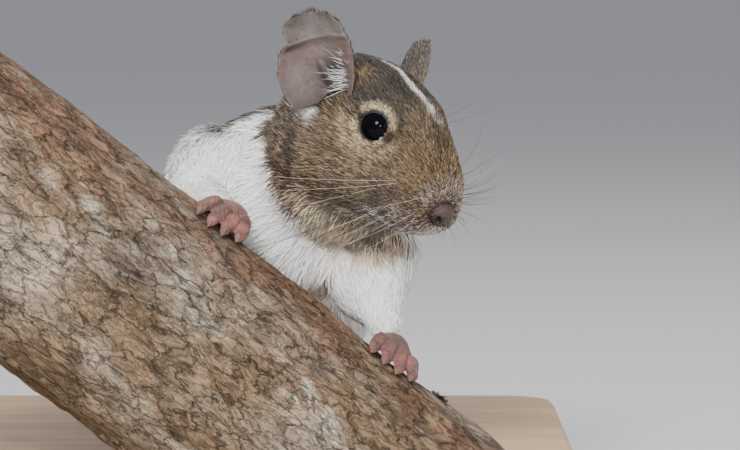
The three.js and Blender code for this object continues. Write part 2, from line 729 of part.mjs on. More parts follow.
function standRod() {
  const height = 70;
  const geometry = new THREE.CylinderGeometry(ROD_RADIUS, ROD_RADIUS, height, 24);
  geometry.rotateX(Math.PI / 2).translate(ROD_PLACE.x, ROD_PLACE.y, GAP + height / 2);
  return solid(geometry);
}

const MODEL = new THREE.Group();
MODEL.position.set(-BASE_CENTRE.x, -BASE_CENTRE.y, BASE_SIZE.z);

const FINISH = {
  brownFur: { color: 0x8a6b48, roughness: 0.9, metalness: 0 },
  whiteFur: { color: 0xe9e6e2, roughness: 0.9, metalness: 0 },
  bareSkin: { color: 0xb98c82, roughness: 0.6, metalness: 0 },
  noseSkin: { color: 0x6b4747, roughness: 0.45, metalness: 0 },
  eye: { color: 0x080709, roughness: 0.05, metalness: 0 },
  tailFur: { color: 0x2a211b, roughness: 0.9, metalness: 0 },
  bark: { color: 0x7a5d42, roughness: 0.9, metalness: 0 },
  standWood: { color: 0xc9ab7f, roughness: 0.5, metalness: 0 },
  steel: { color: 0xb5b7ba, roughness: 0.3, metalness: 1 },
};

function addNode(name, body, finish) {
  const mesh = new THREE.Mesh(geometryOf(body), new THREE.MeshStandardMaterial(FINISH[finish]));
  mesh.name = name;
  MODEL.add(mesh);
}

const branch = branchBody();
const nose = nosePad();
const head = placed(headBody(nose));
const torso = clearOf(torsoBody(), head, branch);
const neck = clearOf(neckBody(), head, torso, branch);

addNode("stand_base", standBase(), "standWood");
addNode("stand_rod", clearOf(standRod(), branch), "steel");
addNode("perch_branch", branch, "bark");
addNode("head", head, "brownFur");
addNode("nose", placed(nose), "noseSkin");
addNode("neck", neck, "whiteFur");
addNode("torso", torso, "brownFur");
for (const [name, side] of [["left", 1], ["right", -1]]) {
  addNode(`eye_${name}`, placed(eyeball(side)), "eye");
  addNode(`ear_${name}`, clearOf(placed(earBody(side)), head), "bareSkin");
  const foreleg = clearOf(forelegBody(FORELEGS[name]), torso, neck, head, branch);
  addNode(`foreleg_${name}`, foreleg, "whiteFur");
  const forepaw = clearOf(forepawBody(FORELEGS[name], side), foreleg, branch);
  addNode(`forepaw_${name}`, forepaw, "bareSkin");
  const hindleg = clearOf(hindlegBody(HINDLEGS[name]), torso);
  addNode(`hindleg_${name}`, hindleg, "brownFur");
  const hindfoot = clearOf(hindfootBody(HINDLEGS[name], side), hindleg);
  addNode(`hindfoot_${name}`, hindfoot, "bareSkin");
}
for (const length of TAIL_LENGTHS) {
  const body = length.name === "tail_brush" ? brushBody(length) : clearOf(tailBody(length), torso);
  addNode(length.name, body, "tailFur");
}

export default MODEL;
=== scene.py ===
"""Visual model of a life-size degu that rests its forepaws on a leaning cut branch.

Metres in the row frame. Many functions work in the specimen's frame, in millimetres, whose
zero is on top of the stand's base, and the head has a frame of its own: forward, left, up.
"""

import json
import math

import bmesh
import bpy
import numpy as np
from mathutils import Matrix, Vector
from mathutils.bvhtree import BVHTree
from mathutils.kdtree import KDTree

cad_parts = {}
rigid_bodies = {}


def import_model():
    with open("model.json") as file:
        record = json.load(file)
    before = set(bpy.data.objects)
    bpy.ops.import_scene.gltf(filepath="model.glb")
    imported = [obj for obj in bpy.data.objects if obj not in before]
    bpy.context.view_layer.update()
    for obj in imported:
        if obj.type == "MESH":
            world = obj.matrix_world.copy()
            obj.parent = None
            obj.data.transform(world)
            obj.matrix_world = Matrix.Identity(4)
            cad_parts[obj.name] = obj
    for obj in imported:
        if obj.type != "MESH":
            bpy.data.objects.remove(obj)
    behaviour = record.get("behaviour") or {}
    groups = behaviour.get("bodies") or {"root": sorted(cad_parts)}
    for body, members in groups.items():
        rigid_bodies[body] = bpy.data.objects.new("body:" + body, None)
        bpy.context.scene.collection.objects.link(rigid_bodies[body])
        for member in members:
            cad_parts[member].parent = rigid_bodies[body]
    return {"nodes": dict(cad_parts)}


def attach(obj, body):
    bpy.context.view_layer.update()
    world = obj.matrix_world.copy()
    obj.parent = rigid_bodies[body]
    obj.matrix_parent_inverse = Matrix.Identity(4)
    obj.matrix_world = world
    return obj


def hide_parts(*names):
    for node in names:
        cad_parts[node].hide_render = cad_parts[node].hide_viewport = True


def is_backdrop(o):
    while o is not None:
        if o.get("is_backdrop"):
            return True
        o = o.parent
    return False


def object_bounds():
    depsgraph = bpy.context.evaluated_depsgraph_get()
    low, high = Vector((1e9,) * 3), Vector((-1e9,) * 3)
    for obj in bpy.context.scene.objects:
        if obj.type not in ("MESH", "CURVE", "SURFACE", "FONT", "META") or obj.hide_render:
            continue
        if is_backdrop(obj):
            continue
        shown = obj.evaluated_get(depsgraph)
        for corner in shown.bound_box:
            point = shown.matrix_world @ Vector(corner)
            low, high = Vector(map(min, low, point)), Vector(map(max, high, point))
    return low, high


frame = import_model()
CAD_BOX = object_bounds()

MM = 0.001
ZERO = np.array([57.0, 61.0, -12.0])  # the row frame's origin in the specimen's frame
SOLID_FLESH = [
    "head", "neck", "torso", "foreleg_left", "foreleg_right", "hindleg_left", "hindleg_right",
    "tail_base", "tail_middle", "tail_end",
]
FLESH = SOLID_FLESH + ["tail_brush"]
VOXELS = {"skin": 0.72, "nose": 0.16, "ear": 0.36, "paw": 0.3}


def row(p):
    return (np.asarray(p, float) - ZERO) * MM


def specimen(p):
    return np.asarray(p, float) / MM + ZERO


def rotation(axis, degrees):
    c, s = math.cos(math.radians(degrees)), math.sin(math.radians(degrees))
    return np.array({
        "x": [[1, 0, 0], [0, c, -s], [0, s, c]],
        "y": [[c, 0, s], [0, 1, 0], [-s, 0, c]],
        "z": [[c, -s, 0], [s, c, 0], [0, 0, 1]],
    }[axis], float)


HEAD_PLACE = np.array([94.5, 10.0, 81.0])
HEAD_TURN = rotation("z", -43) @ rotation("y", 32) @ rotation("x", -5)


def to_head(s):
    return (np.asarray(s, float) - HEAD_PLACE) @ HEAD_TURN


def from_head(h):
    return np.asarray(h, float) @ HEAD_TURN.T + HEAD_PLACE


def unit(v):
    v = np.asarray(v, float)
    return v / np.maximum(np.linalg.norm(v, axis=-1, keepdims=True), 1e-12)


def smooth(x, low, high):
    t = np.clip((np.asarray(x, float) - low) / (high - low), 0, 1)
    return t * t * (3 - 2 * t)


def bump(x, width):
    return np.exp(-((x / width) ** 2))


def mix(a, b, t):
    t = np.asarray(t, float)
    if t.ndim and np.ndim(a) + np.ndim(b) > 0 and t.ndim < max(np.ndim(a), np.ndim(b), 2):
        t = t[..., None]
    return a * (1 - t) + b * t


def lattice(points, seed):
    """Smooth noise from -1 to 1 at points, one cell a unit."""
    p = np.asarray(points, float)
    cell = np.floor(p).astype(np.int64)
    part = p - cell
    part = part * part * (3 - 2 * part)
    total = np.zeros(len(p))
    for corner in range(8):
        step = np.array([corner & 1, (corner >> 1) & 1, corner >> 2])
        c = cell + step
        h = (c[:, 0] * 73856093) ^ (c[:, 1] * 19349663) ^ (c[:, 2] * 83492791) ^ (seed * 2654435761)
        h = (h ^ (h >> 13)) * 1274126177
        value = ((h ^ (h >> 16)) & 0xFFFF) / 32767.5 - 1
        weight = np.prod(np.where(step == 1, part, 1 - part), axis=1)
        total += value * weight
    return total


def noise(points, scale, seed=0, octaves=3):
    total = np.zeros(len(points))
    for octave in range(octaves):
        total += 0.5**octave * lattice(np.asarray(points) * 2**octave / scale, seed + octave)
    return total


def noise_vectors(points, scale, seed, octaves=3):
    return np.stack([noise(points, scale, seed + k, octaves) for k in range(3)], 1)


def layered(shade, palette, *layers):
    """Colours of a palette laid over each other, each with its share."""
    for name, share in layers:
        shade = mix(shade, palette[name], share)
    return shade


# Meshes


def linked(name, data):
    made = bpy.data.objects.new(name, data)
    bpy.context.scene.collection.objects.link(made)
    return made


def mesh_object(name, places, faces):
    """An object from points in metres and an array of triangles or quads."""
    places = np.asarray(places, np.float32)
    faces = np.asarray(faces, np.int32)
    mesh = bpy.data.meshes.new(name)
    mesh.vertices.add(len(places))
    mesh.vertices.foreach_set("co", places.ravel())
    sides = faces.shape[1]
    mesh.loops.add(faces.size)
    mesh.loops.foreach_set("vertex_index", faces.ravel())
    mesh.polygons.add(len(faces))
    mesh.polygons.foreach_set("loop_start", np.arange(len(faces), dtype=np.int32) * sides)
    mesh.polygons.foreach_set("loop_total", np.full(len(faces), sides, np.int32))
    mesh.update(calc_edges=True)
    mesh.validate()
    mesh.shade_smooth()
    return linked(name, mesh)


def read(items, attribute, width=1, kind=np.float32):
    """One attribute of all of a mesh's points, corners or faces."""
    values = np.zeros(len(items) * width, kind)
    items.foreach_get(attribute, values)
    return values.reshape(-1, width) if width > 1 else values


def arrays(mesh):
    """Points and triangles of a mesh."""
    mesh.calc_loop_triangles()
    places = read(mesh.vertices, "co", 3).astype(float)
    return places, read(mesh.loop_triangles, "vertices", 3, np.int32)


def crossed(places, triangles):
    a, b, c = (places[triangles[:, k]] for k in range(3))
    return np.cross(b - a, c - a)


def areas(places, triangles):
    """The triangles' areas in square millimetres."""
    return np.linalg.norm(crossed(places, triangles), axis=1) / 2 / MM**2


def normals_of(places, triangles):
    face = crossed(places, triangles)
    total = np.zeros_like(places)
    for k in range(3):
        np.add.at(total, triangles[:, k], face)
    return unit(total)


def paint(obj, colours):
    values = np.ones((len(obj.data.vertices), 4), np.float32)
    values[:, :3] = np.clip(colours, 0, 1)
    layer = obj.data.color_attributes.new("Col", "FLOAT_COLOR", "POINT")
    layer.data.foreach_set("color", values.ravel())


def remeshed(name, node_names, voxel, inflate=0.0, more=()):
    """One closed skin over copies of CAD nodes, each moved out a little, as points and quads."""
    builder = bmesh.new()
    for places, triangles in [arrays(frame["nodes"][node].data) for node in node_names] + list(more):
        merged, index = np.unique(np.round(places / MM, 3), axis=0, return_inverse=True)
        merged = merged * MM
        triangles = index.reshape(-1)[triangles]
        a, b, c = triangles.T
        triangles = triangles[(a != b) & (b != c) & (a != c)]
        merged = merged + normals_of(merged, triangles) * inflate * MM
        start = len(builder.verts)
        for p in merged:
            builder.verts.new(p)
        builder.verts.ensure_lookup_table()
        for t in triangles + start:
            corners = [builder.verts[i] for i in t]
            if builder.faces.get(corners) is None:
                builder.faces.new(corners)
    raw = bpy.data.meshes.new(name + "_raw")
    builder.to_mesh(raw)
    builder.free()
    temporary = linked(name + "_raw", raw)
    modifier = temporary.modifiers.new("remesh", "REMESH")
    modifier.mode = "VOXEL"
    modifier.voxel_size = voxel * MM
    graph = bpy.context.evaluated_depsgraph_get()
    made = bpy.data.meshes.new_from_object(temporary.evaluated_get(graph))
    bpy.data.objects.remove(temporary)
    bpy.data.meshes.remove(raw)
    places = read(made.vertices, "co", 3).astype(float)
    corners = read(made.loops, "vertex_index", 1, np.int32)
    sides = read(made.polygons, "loop_total", 1, np.int32)
    bpy.data.meshes.remove(made)
    if not (sides == 4).all():
        raise ValueError("the skin's faces are not all quads")
    return places, corners.reshape(-1, 4)


def split_quads(quads):
    return np.concatenate([quads[:, [0, 1, 2]], quads[:, [0, 2, 3]]])


def ring_quads(rings, around, closed=False):
    """Quads between closed rings of points that follow each other."""
    steps = np.arange(rings if closed else rings - 1)
    i, k = np.meshgrid(steps, np.arange(around), indexing="ij")
    j, m = (i + 1) % rings, (k + 1) % around
    corners = [i * around + k, i * around + m, j * around + m, j * around + k]
    return np.stack(corners, -1).reshape(-1, 4)


def edges_of(quads):
    pairs = np.concatenate([quads[:, [k, (k + 1) % 4]] for k in range(4)])
    return np.unique(np.sort(pairs, axis=1), axis=0)


def relaxed(places, edges, share, rounds):
    """Each point moved towards the mean of its neighbours, by its own share."""
    count = np.zeros(len(places))
    np.add.at(count, edges.ravel(), 1)
    shape = (-1,) + (1,) * (places.ndim - 1)
    share = np.broadcast_to(np.asarray(share, float), (len(places),)).reshape(shape)
    count = np.maximum(count, 1).reshape(shape)
    for _ in range(rounds):
        total = np.zeros_like(places)
        np.add.at(total, edges[:, 0], places[edges[:, 1]])
        np.add.at(total, edges[:, 1], places[edges[:, 0]])
        places = places + share * (total / count - places)
    return places


# Materials


class Nodes:
    """A material's node tree, with short calls to add and link nodes."""

    def __init__(self, name):
        self.material = bpy.data.materials.new(name)
        self.material.use_nodes = True
        self.tree = self.material.node_tree
        self.shader = self.tree.nodes["Principled BSDF"]

    def add(self, kind, **inputs):
        made = self.tree.nodes.new("ShaderNode" + kind)
        for key, value in inputs.items():
            if hasattr(made, key) and key not in made.inputs:
                setattr(made, key, value)
            else:
                self.put(made, key.replace("_", " "), value)
        return made

    def put(self, made, key, value):
        """Sets an input, or links it to a socket or to a node's first output."""
        socket = made.inputs[key]
        if isinstance(value, bpy.types.Node):
            value = value.outputs[0]
        if isinstance(value, bpy.types.NodeSocket):
            self.tree.links.new(value, socket)
        elif socket.type == "RGBA":
            socket.default_value = (*value[:3], 1)
        else:
            socket.default_value = value

    def surface(self, **inputs):
        for key, value in inputs.items():
            self.put(self.shader, key.replace("_", " "), value)

    def ramp(self, factor, *stops):
        made = self.add("ValToRGB", Fac=factor)
        elements = made.color_ramp.elements
        while len(elements) < len(stops):
            elements.new(0.5)
        for element, (place, colour) in zip(elements, stops):
            element.position = place
            element.color = (*colour, 1) if np.ndim(colour) else (colour, colour, colour, 1)
        return made

    def noise(self, scale, detail=4, roughness=0.6, stretch=None, distortion=0.0, place=None):
        if place is None:
            place = self.add("TexCoord").outputs["Object"]
        if stretch is not None:
            place = self.add("Mapping", Scale=stretch, Vector=place)
        return self.add(
            "TexNoise", Vector=place, Scale=scale, Detail=detail, Roughness=roughness,
            Distortion=distortion,
        )

    def bump(self, height, distance, normal=None):
        made = self.add("Bump", Height=height, Distance=distance)
        if normal is not None:
            self.put(made, "Normal", normal)
        return made

    def mixed(self, share, first, second, kind="MIX"):
        made = self.add("Mix", data_type="RGBA", blend_type=kind)
        for index, value in ((0, share), (6, first), (7, second)):
            self.put(made, index, value)
        return made.outputs[2]

    def tint(self, colour, factor, strength, dark=0.6, light=1.3):
        """The colour made darker and lighter by a factor from 0 to 1."""
        level = self.add("MapRange", Value=factor, To_Min=dark, To_Max=light)
        return self.mixed(strength, colour, level, "MULTIPLY")

    def attribute(self):
        return self.add("VertexColor", layer_name="Col").outputs["Color"]


def fur_material(name):
    n = Nodes(name)
    colour = n.tint(n.attribute(), n.noise(900, 2), 0.7, 0.7)
    n.surface(Base_Color=colour, Roughness=0.55, Specular_IOR_Level=0.28)
    n.surface(Sheen_Weight=0.04, Sheen_Roughness=0.5)
    return n.material


def under_fur_material(name):
    n = Nodes(name)
    fine = n.noise(1400, 5, 0.7)
    colour = n.tint(n.attribute(), fine, 0.9, 0.45, 1.2)
    n.surface(Base_Color=colour, Roughness=0.85, Specular_IOR_Level=0.15)
    n.surface(Normal=n.bump(fine, 0.0006))
    return n.material


def skin_material(name, colour, roughness, scale, depth):
    n = Nodes(name)
    fine = n.noise(scale, 5, 0.65)
    cells = n.add("TexVoronoi", Scale=scale * 1.6, Vector=n.add("TexCoord").outputs["Object"])
    base = n.attribute() if colour is None else colour
    n.surface(Base_Color=n.tint(base, fine, 0.8), Roughness=roughness)
    n.surface(Normal=n.bump(fine, depth, n.bump(cells.outputs["Distance"], depth)))
    return n.material


def grained(name, colour, scale, detail, contrast, roughness, depth):
    """A plain material whose colour and relief vary with a fine grain."""
    n = Nodes(name)
    fine = n.noise(scale, detail)
    base = n.attribute() if colour is None else colour
    n.surface(Base_Color=n.tint(base, fine, contrast), Roughness=roughness)
    n.surface(Normal=n.bump(fine, depth))
    return n.material


def finish(obj, material, replaces=()):
    obj.data.materials.clear()
    obj.data.materials.append(material)
    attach(obj, "root")
    if replaces:
        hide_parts(*replaces)


# Camera, light and floor


LIGHTS = {
    "key": ((-0.25, -1.1, 0.8), 0.4, 24, (1.0, 0.98, 0.95)),
    "top": ((0.25, 0.25, 1.1), 0.9, 6, (0.95, 0.97, 1.0)),
    "fill": ((0.9, -0.7, 0.35), 0.8, 3.5, (1.0, 0.97, 0.94)),
    "spark": ((0.22, -1.2, 0.4), 0.05, 6, (1.0, 1.0, 1.0)),
}


def aim(made, target):
    made.rotation_euler = (target - made.location).to_track_quat("-Z", "Y").to_euler()


def camera():
    data = bpy.data.cameras.new("camera")
    distance, elevation = 0.9, math.radians(4)
    width = 0.185  # what the frame spans at the animal
    data.sensor_width = 36
    data.lens = 36 * distance / width
    made = linked("camera", data)
    target = Vector(row([92.5, 5, 61.25]))
    made.location = target + distance * Vector((0, -math.cos(elevation), math.sin(elevation)))
    aim(made, target)
    bpy.context.scene.camera = made


def area_light(name, place, size, power, colour):
    data = bpy.data.lights.new(name, "AREA")
    data.shape = "DISK"
    data.size = size
    data.energy = power
    data.color = colour
    made = linked(name, data)
    made.location = place
    aim(made, Vector(row([88, 15, 65])))


def stage():
    half = 60.0
    corners = [(-half, -half, 0), (half, -half, 0), (half, half, 0), (-half, half, 0)]
    floor = mesh_object("floor", corners, [(0, 1, 2, 3)])
    n = Nodes("floor_paper")
    n.surface(Base_Color=(0.62, 0.6, 0.58), Roughness=0.9)
    floor.data.materials.append(n.material)
    floor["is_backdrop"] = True
    world = bpy.data.worlds.new("studio")
    world.use_nodes = True
    background = world.node_tree.nodes["Background"].inputs
    background[0].default_value = (0.86, 0.9, 1.0, 1)
    background[1].default_value = 0.5
    bpy.context.scene.world = world
    for name, light in LIGHTS.items():
        area_light(name, *light)


# Branch

BRANCH_RADIUS = 30.0
SLOPE = math.radians(37.8)
ALONG = np.array([math.cos(SLOPE), 0, -math.sin(SLOPE)])
OUT = np.array([math.sin(SLOPE), 0, math.cos(SLOPE)])
BRANCH_START = np.array([-21.0, 0, 83.0])
KNOT_PLACE, KNOT_ANGLE = 62.0, -1.1


def bark_relief(distance, angle):
    wander = 0.35 * np.sin(distance / 23) + 0.2 * np.sin(distance / 9 + 1)
    swell = 0.7 * np.sin(distance / 31 + 0.6) + 0.5 * np.sin(2 * angle + distance / 40)
    ridges = 0.42 * np.sin(9 * (angle + wander)) + 0.25 * np.sin(14 * angle - distance / 12)
    return swell + ridges + 1.4 * bump(distance - KNOT_PLACE, 11) * bump(angle - KNOT_ANGLE, 0.35)


def branch_point(distance, angle, radius):
    d, a, r = (np.asarray(x, float)[..., None] for x in (distance, angle, radius))
    side = np.array([0.0, 1.0, 0.0])
    return BRANCH_START + d * ALONG + r * np.cos(a) * OUT + r * np.sin(a) * side


def over_bark(distance, degrees, height):
    angle = -math.radians(degrees)
    return branch_point(distance, angle, BRANCH_RADIUS + bark_relief(distance, angle) + height)


BARK = {
    "brown": np.array([0.27, 0.18, 0.105]),
    "grey": np.array([0.38, 0.305, 0.225]),
    "red": np.array([0.18, 0.085, 0.045]),
    "pale": np.array([0.62, 0.56, 0.44]),
    "dark": np.array([0.055, 0.035, 0.022]),
}


def wrapped(angle):
    return (angle + math.pi) % (2 * math.pi) - math.pi


def branch():
    length, around, along = 214.0, 300, 330
    d = np.linspace(0, length, along + 1)
    a = np.linspace(0, 2 * math.pi, around, endpoint=False)
    d, a = (x.ravel() for x in np.meshgrid(d, a, indexing="ij"))
    where = np.stack([d, BRANCH_RADIUS * np.cos(a), BRANCH_RADIUS * np.sin(a)], 1)
    lean = where + 5 * noise_vectors(where, 28, 5)
    long_grain = lean * [0.35, 1, 1]
    plates = noise(long_grain, 7.5, 11)
    flakes = noise(lean * [0.6, 1, 1], 2.8, 31)
    worn = smooth(noise(long_grain * [0.6, 1, 1], 9, 51), 0.3, 0.8) * bump(wrapped(a + 1.25), 0.6)
    height = 0.4 * plates + 0.3 * flakes - 0.15 * worn - 0.35
    places = branch_point(d, a, BRANCH_RADIUS + bark_relief(d, a) + np.minimum(height, 0.25))
    made = mesh_object("branch_bark", row(places), ring_quads(along + 1, around)[:, ::-1])
    shade = layered(
        BARK["brown"], BARK,
        ("grey", smooth(noise(lean * [0.5, 1, 1], 16, 61), -0.5, 0.7)),
        ("red", 0.8 * bump(wrapped(a + 0.45), 0.5) * smooth(noise(lean, 9, 71), -0.8, 0.3)),
        ("pale", 0.9 * worn * smooth(noise(long_grain, 2.6, 81), -0.2, 0.5)),
    )
    shade = shade * (1 + 0.3 * flakes + 0.2 * plates)[:, None]
    knot = bump(d - KNOT_PLACE, 9) * bump(wrapped(a - KNOT_ANGLE), 0.25)
    paint(made, layered(shade, BARK, ("dark", 0.7 * knot)))
    builder = bmesh.new()
    builder.from_mesh(made.data)
    geometry = builder.verts[:] + builder.edges[:] + builder.faces[:]
    bmesh.ops.bisect_plane(
        builder, geom=geometry, dist=1e-6, plane_co=row([0, 0, 0.3]), plane_no=(0, 0, -1),
        clear_outer=True,
    )
    bmesh.ops.holes_fill(builder, edges=[e for e in builder.edges if e.is_boundary], sides=0)
    builder.to_mesh(made.data)
    builder.free()
    finish(made, bark_material(), ["perch_branch"])


def bark_material():
    """Bark with fine cracks along the branch, flaky grain and pale flecks."""
    n = Nodes("bark")
    place = n.add(
        "Mapping", vector_type="TEXTURE", Vector=n.add("TexCoord").outputs["Object"],
        Rotation=(0, SLOPE, 0), Scale=(2.4, 1, 1),
    )
    warp = n.noise(160, 5, 0.65, place=place).outputs["Color"]
    bent = n.add("VectorMath", operation="MULTIPLY_ADD")
    for index, value in enumerate((warp, (0.009, 0.009, 0.009), place)):
        n.put(bent, index, value)
    fine = n.noise(1100, 6, 0.75, place=bent)
    coarse = n.noise(260, 6, 0.7, place=bent)
    tone = n.tint(n.tint(n.attribute(), fine, 1.0, -0.3, 2.3), coarse, 1.0, -0.1, 2.1)
    relief = n.bump(fine, 0.0009, n.bump(coarse, 0.0016))
    for scale, gap, dark, depth in ((190, 0.06, 0.25, 0.0007), (520, 0.09, 0.45, 0.0004)):
        cells = n.add("TexVoronoi", feature="DISTANCE_TO_EDGE", Vector=bent, Scale=scale)
        edge = n.add("MapRange", Value=cells.outputs["Distance"], From_Max=gap)
        tone = n.tint(tone, edge, 0.9, dark, 1.0)
        relief = n.bump(edge, depth, relief)
    flecks = n.ramp(n.noise(430, 5, 0.75, place=bent), (0.57, 0.0), (0.66, 0.6))
    tone = n.mixed(flecks, tone, (0.47, 0.40, 0.31))
    n.surface(Base_Color=tone, Roughness=0.8, Specular_IOR_Level=0.35, Normal=relief)
    return n.material


def branch_end():
    """The sawn upper end: wood with growth rings inside a rim of bark."""
    rings, around, inset = 34, 160, 0.25
    i = np.repeat(np.arange(1, rings + 1), around)
    a = np.tile(np.linspace(0, 2 * math.pi, around, endpoint=False), rings)
    r = (BRANCH_RADIUS - 0.6 + bark_relief(0.0, a)) * i / rings
    saw = 0.06 * np.sin(r * 9 + a * 3)
    middle = branch_point(-inset, 0.0, 0.0)[None]
    places = np.concatenate([middle, branch_point(saw - inset, a, r)])
    wood = 0.5 + 0.5 * np.sin(r * 2.6 + 0.6 * np.sin(3 * a))
    shade = np.array([0.5, 0.36, 0.21]) * (0.75 + 0.25 * wood)[:, None]
    shade = np.where((i < rings - 2)[:, None], shade, BARK["brown"])
    fan = [(0, 1 + k, 1 + (k + 1) % around) for k in range(around)]
    quads = 1 + ring_quads(rings, around)[:, [0, 3, 2, 1]]
    made = mesh_object("branch_end", row(places), np.concatenate([fan, split_quads(quads)]))
    paint(made, np.concatenate([[[0.4, 0.28, 0.16]], shade]))
    finish(made, grained("end_grain", None, 1200, 5, 0.8, 0.8, 0.0003))


# Coat colours, linear

COAT = {
    "agouti": np.array([0.102, 0.073, 0.047]),
    "dark": np.array([0.026, 0.020, 0.016]),
    "warm": np.array([0.132, 0.083, 0.040]),
    "buff": np.array([0.40, 0.305, 0.20]),
    "grey": np.array([0.082, 0.070, 0.062]),
    "white": np.array([0.93, 0.925, 0.92]),
    "throat": np.array([0.55, 0.455, 0.335]),
    "rust": np.array([0.125, 0.062, 0.028]),
    "black": np.array([0.014, 0.011, 0.009]),
    "lip": np.array([0.50, 0.455, 0.44]),
    "lilac": np.array([0.225, 0.175, 0.17]),
}
EYE_PLACE = np.array([5.0, 10.0, 8.0])
NOSE_PLACE = np.array([26.6, 0.0, -2.4])
NOSE_SIZE = np.array([2.6, 3.8, 2.8])
EYE_GAZE = unit([0.22, 0.93, 0.24])
EYE_RADIUS = 4.7


def left_side(h):
    """Head points mirrored over to the animal's left."""
    return np.stack([h[:, 0], np.abs(h[:, 1]), h[:, 2]], 1)


def eye_of(h):
    """Head points from the nearer eye: off its axis, above it, before it, and how far in all."""
    away = left_side(h) - EYE_PLACE - EYE_GAZE * 2.5
    flat = away - (away @ EYE_GAZE)[:, None] * EYE_GAZE
    return np.linalg.norm(flat, axis=1), flat[:, 2], flat[:, 0], np.linalg.norm(away, axis=1)


def head_colour(s):
    h = to_head(s)
    f, l, u = h.T
    away = np.abs(l)
    wobble = noise(s, 5.0, 3)
    low = under_jaw(s) * smooth(-f, -17, -9)
    reach, high, front, whole = eye_of(h)
    above, below = smooth(high, 0.4, 2.6), smooth(-high, 0.2, 2.2)
    ring = bump(reach - 4.8, 1.15) * (whole < 9)
    behind_jaw = f + 0.35 * u + 10.5 + 0.6 * wobble
    patch = bump(f + 12.5, 3.4) * bump(u + 0.4 + 0.15 * f, 1.5) * smooth(away, 12, 15)
    middle = np.interp(f, [-10, -6, 0, 3.5, 7, 10.4, 13.6], [3.2, 2.9, 0.9, 0.8, 1.1, 2.0, 2.4])
    wide = np.interp(f, [-10, 0, 6, 13], [0.8, 1.0, 1.2, 2.2])
    blaze = bump((l - middle + 0.5 * wobble) / wide, 1.0) * smooth(-f, -16, -4) * smooth(f, -13, -8)
    patchy = 0.72 + (0.5 + 0.4 * smooth(f, -4, 6)) * noise(s, 1.3, 6, 2)
    lips = near_mouth(h)
    shade = layered(
        np.tile(COAT["agouti"], (len(s), 1)), COAT,
        ("warm", 0.6 * smooth(f, 4, 20) * smooth(u, -8, 6)),
        # Darker forehead: partly darker fur, partly painted shade on the top of the head.
        ("dark", 0.93 * smooth(u, 5, 12) * smooth(-f, -13, -2)),
        ("dark", 0.35 * smooth(u, 3, 9) * bump(f - 14, 6)),
        ("warm", 0.5 * bump(f + 6, 3) * smooth(u, 7, 12) * bump(away - 10, 3.5)),
        ("grey", 0.5 * smooth(-f, 2, 12) * smooth(-u, -6, 4)),
        ("throat", 0.95 * low),
        ("rust", 0.5 * bump(u + 15, 4) * bump(f + 9, 5) * (1 - low)),
        ("buff", np.clip(ring * (above + below), 0, 0.97)),
        ("dark", 0.95 * bump(reach - 6.7, 0.85) * above * (whole < 12)),
        ("buff", 0.35 * bump(reach - 7.5, 1.4) * below * (whole < 12)),
        ("dark", 0.6 * bump(front - 5.4, 1.1) * bump(high + 0.8, 1.2) * (whole < 9)),
        ("dark", 0.7 * bump(behind_jaw, 1.6) * smooth(-u, 1, 4)),
        ("white", np.clip(1.4 * patch, 0, 0.9)),
        ("white", np.clip(0.8 * blaze * patchy * smooth(u, 7, 10), 0, 0.72)),
        ("lilac", 0.7 * smooth(f, 17, 23) * smooth(-u, 2, 6)),
        ("lip", 0.22 * smooth(f, 23, 26.5) * smooth(u, -3, 1)),
        ("lip", 0.85 * bump(lips - 2.0, 1.1) * smooth(f, 12, 16)),
        # Painted shade: a black line in the crease of the closed mouth.
        ("black", 0.8 * bump(lips, 0.7)),
        ("throat", 0.85 * smooth(-u, 12.5, 15.5) * smooth(f, 2, 8)),
        ("throat", 0.8 * smooth(-u, 17, 20) * smooth(f, -9, -3)),
    )
    return shade * (1 + 0.20 * noise(s, 1.8, 4) + 0.13 * wobble)[:, None]


def jowl_line(x):
    """Height of the lower edge of the brown and tan fur, seen from the front."""
    return np.interp(x, [60, 66, 69.3, 76.5, 78.5, 88.5, 96, 106], [96, 88, 70, 62, 58, 51.5, 52.5, 55])


def under_jaw(s):
    """Share of the pale throat fur, just above the jowl's lower edge."""
    return smooth(jowl_line(s[:, 0]) - s[:, 2], -14, -8) * smooth(s[:, 0], 72, 80)


def from_line(points, line):
    """How far points are from each stretch of a line, and the stretches' steps."""
    start, step = np.array(line[:-1], float), np.diff(line, axis=0)
    t = ((points[:, None] - start) * step).sum(2) / (step**2).sum(1)
    foot = start + np.clip(t, 0, 1)[..., None] * step
    return np.linalg.norm(points[:, None] - foot, axis=2), step


MOUTH_LINE = np.array([[25.4, 0, -7.9], [23.6, 3.2, -9.9], [19.5, 6.8, -12.0], [14.5, 9.2, -11.6]])


def near_mouth(h):
    """Distance of head points from the line of the mouth."""
    return from_line(left_side(h), MOUTH_LINE)[0].min(1)


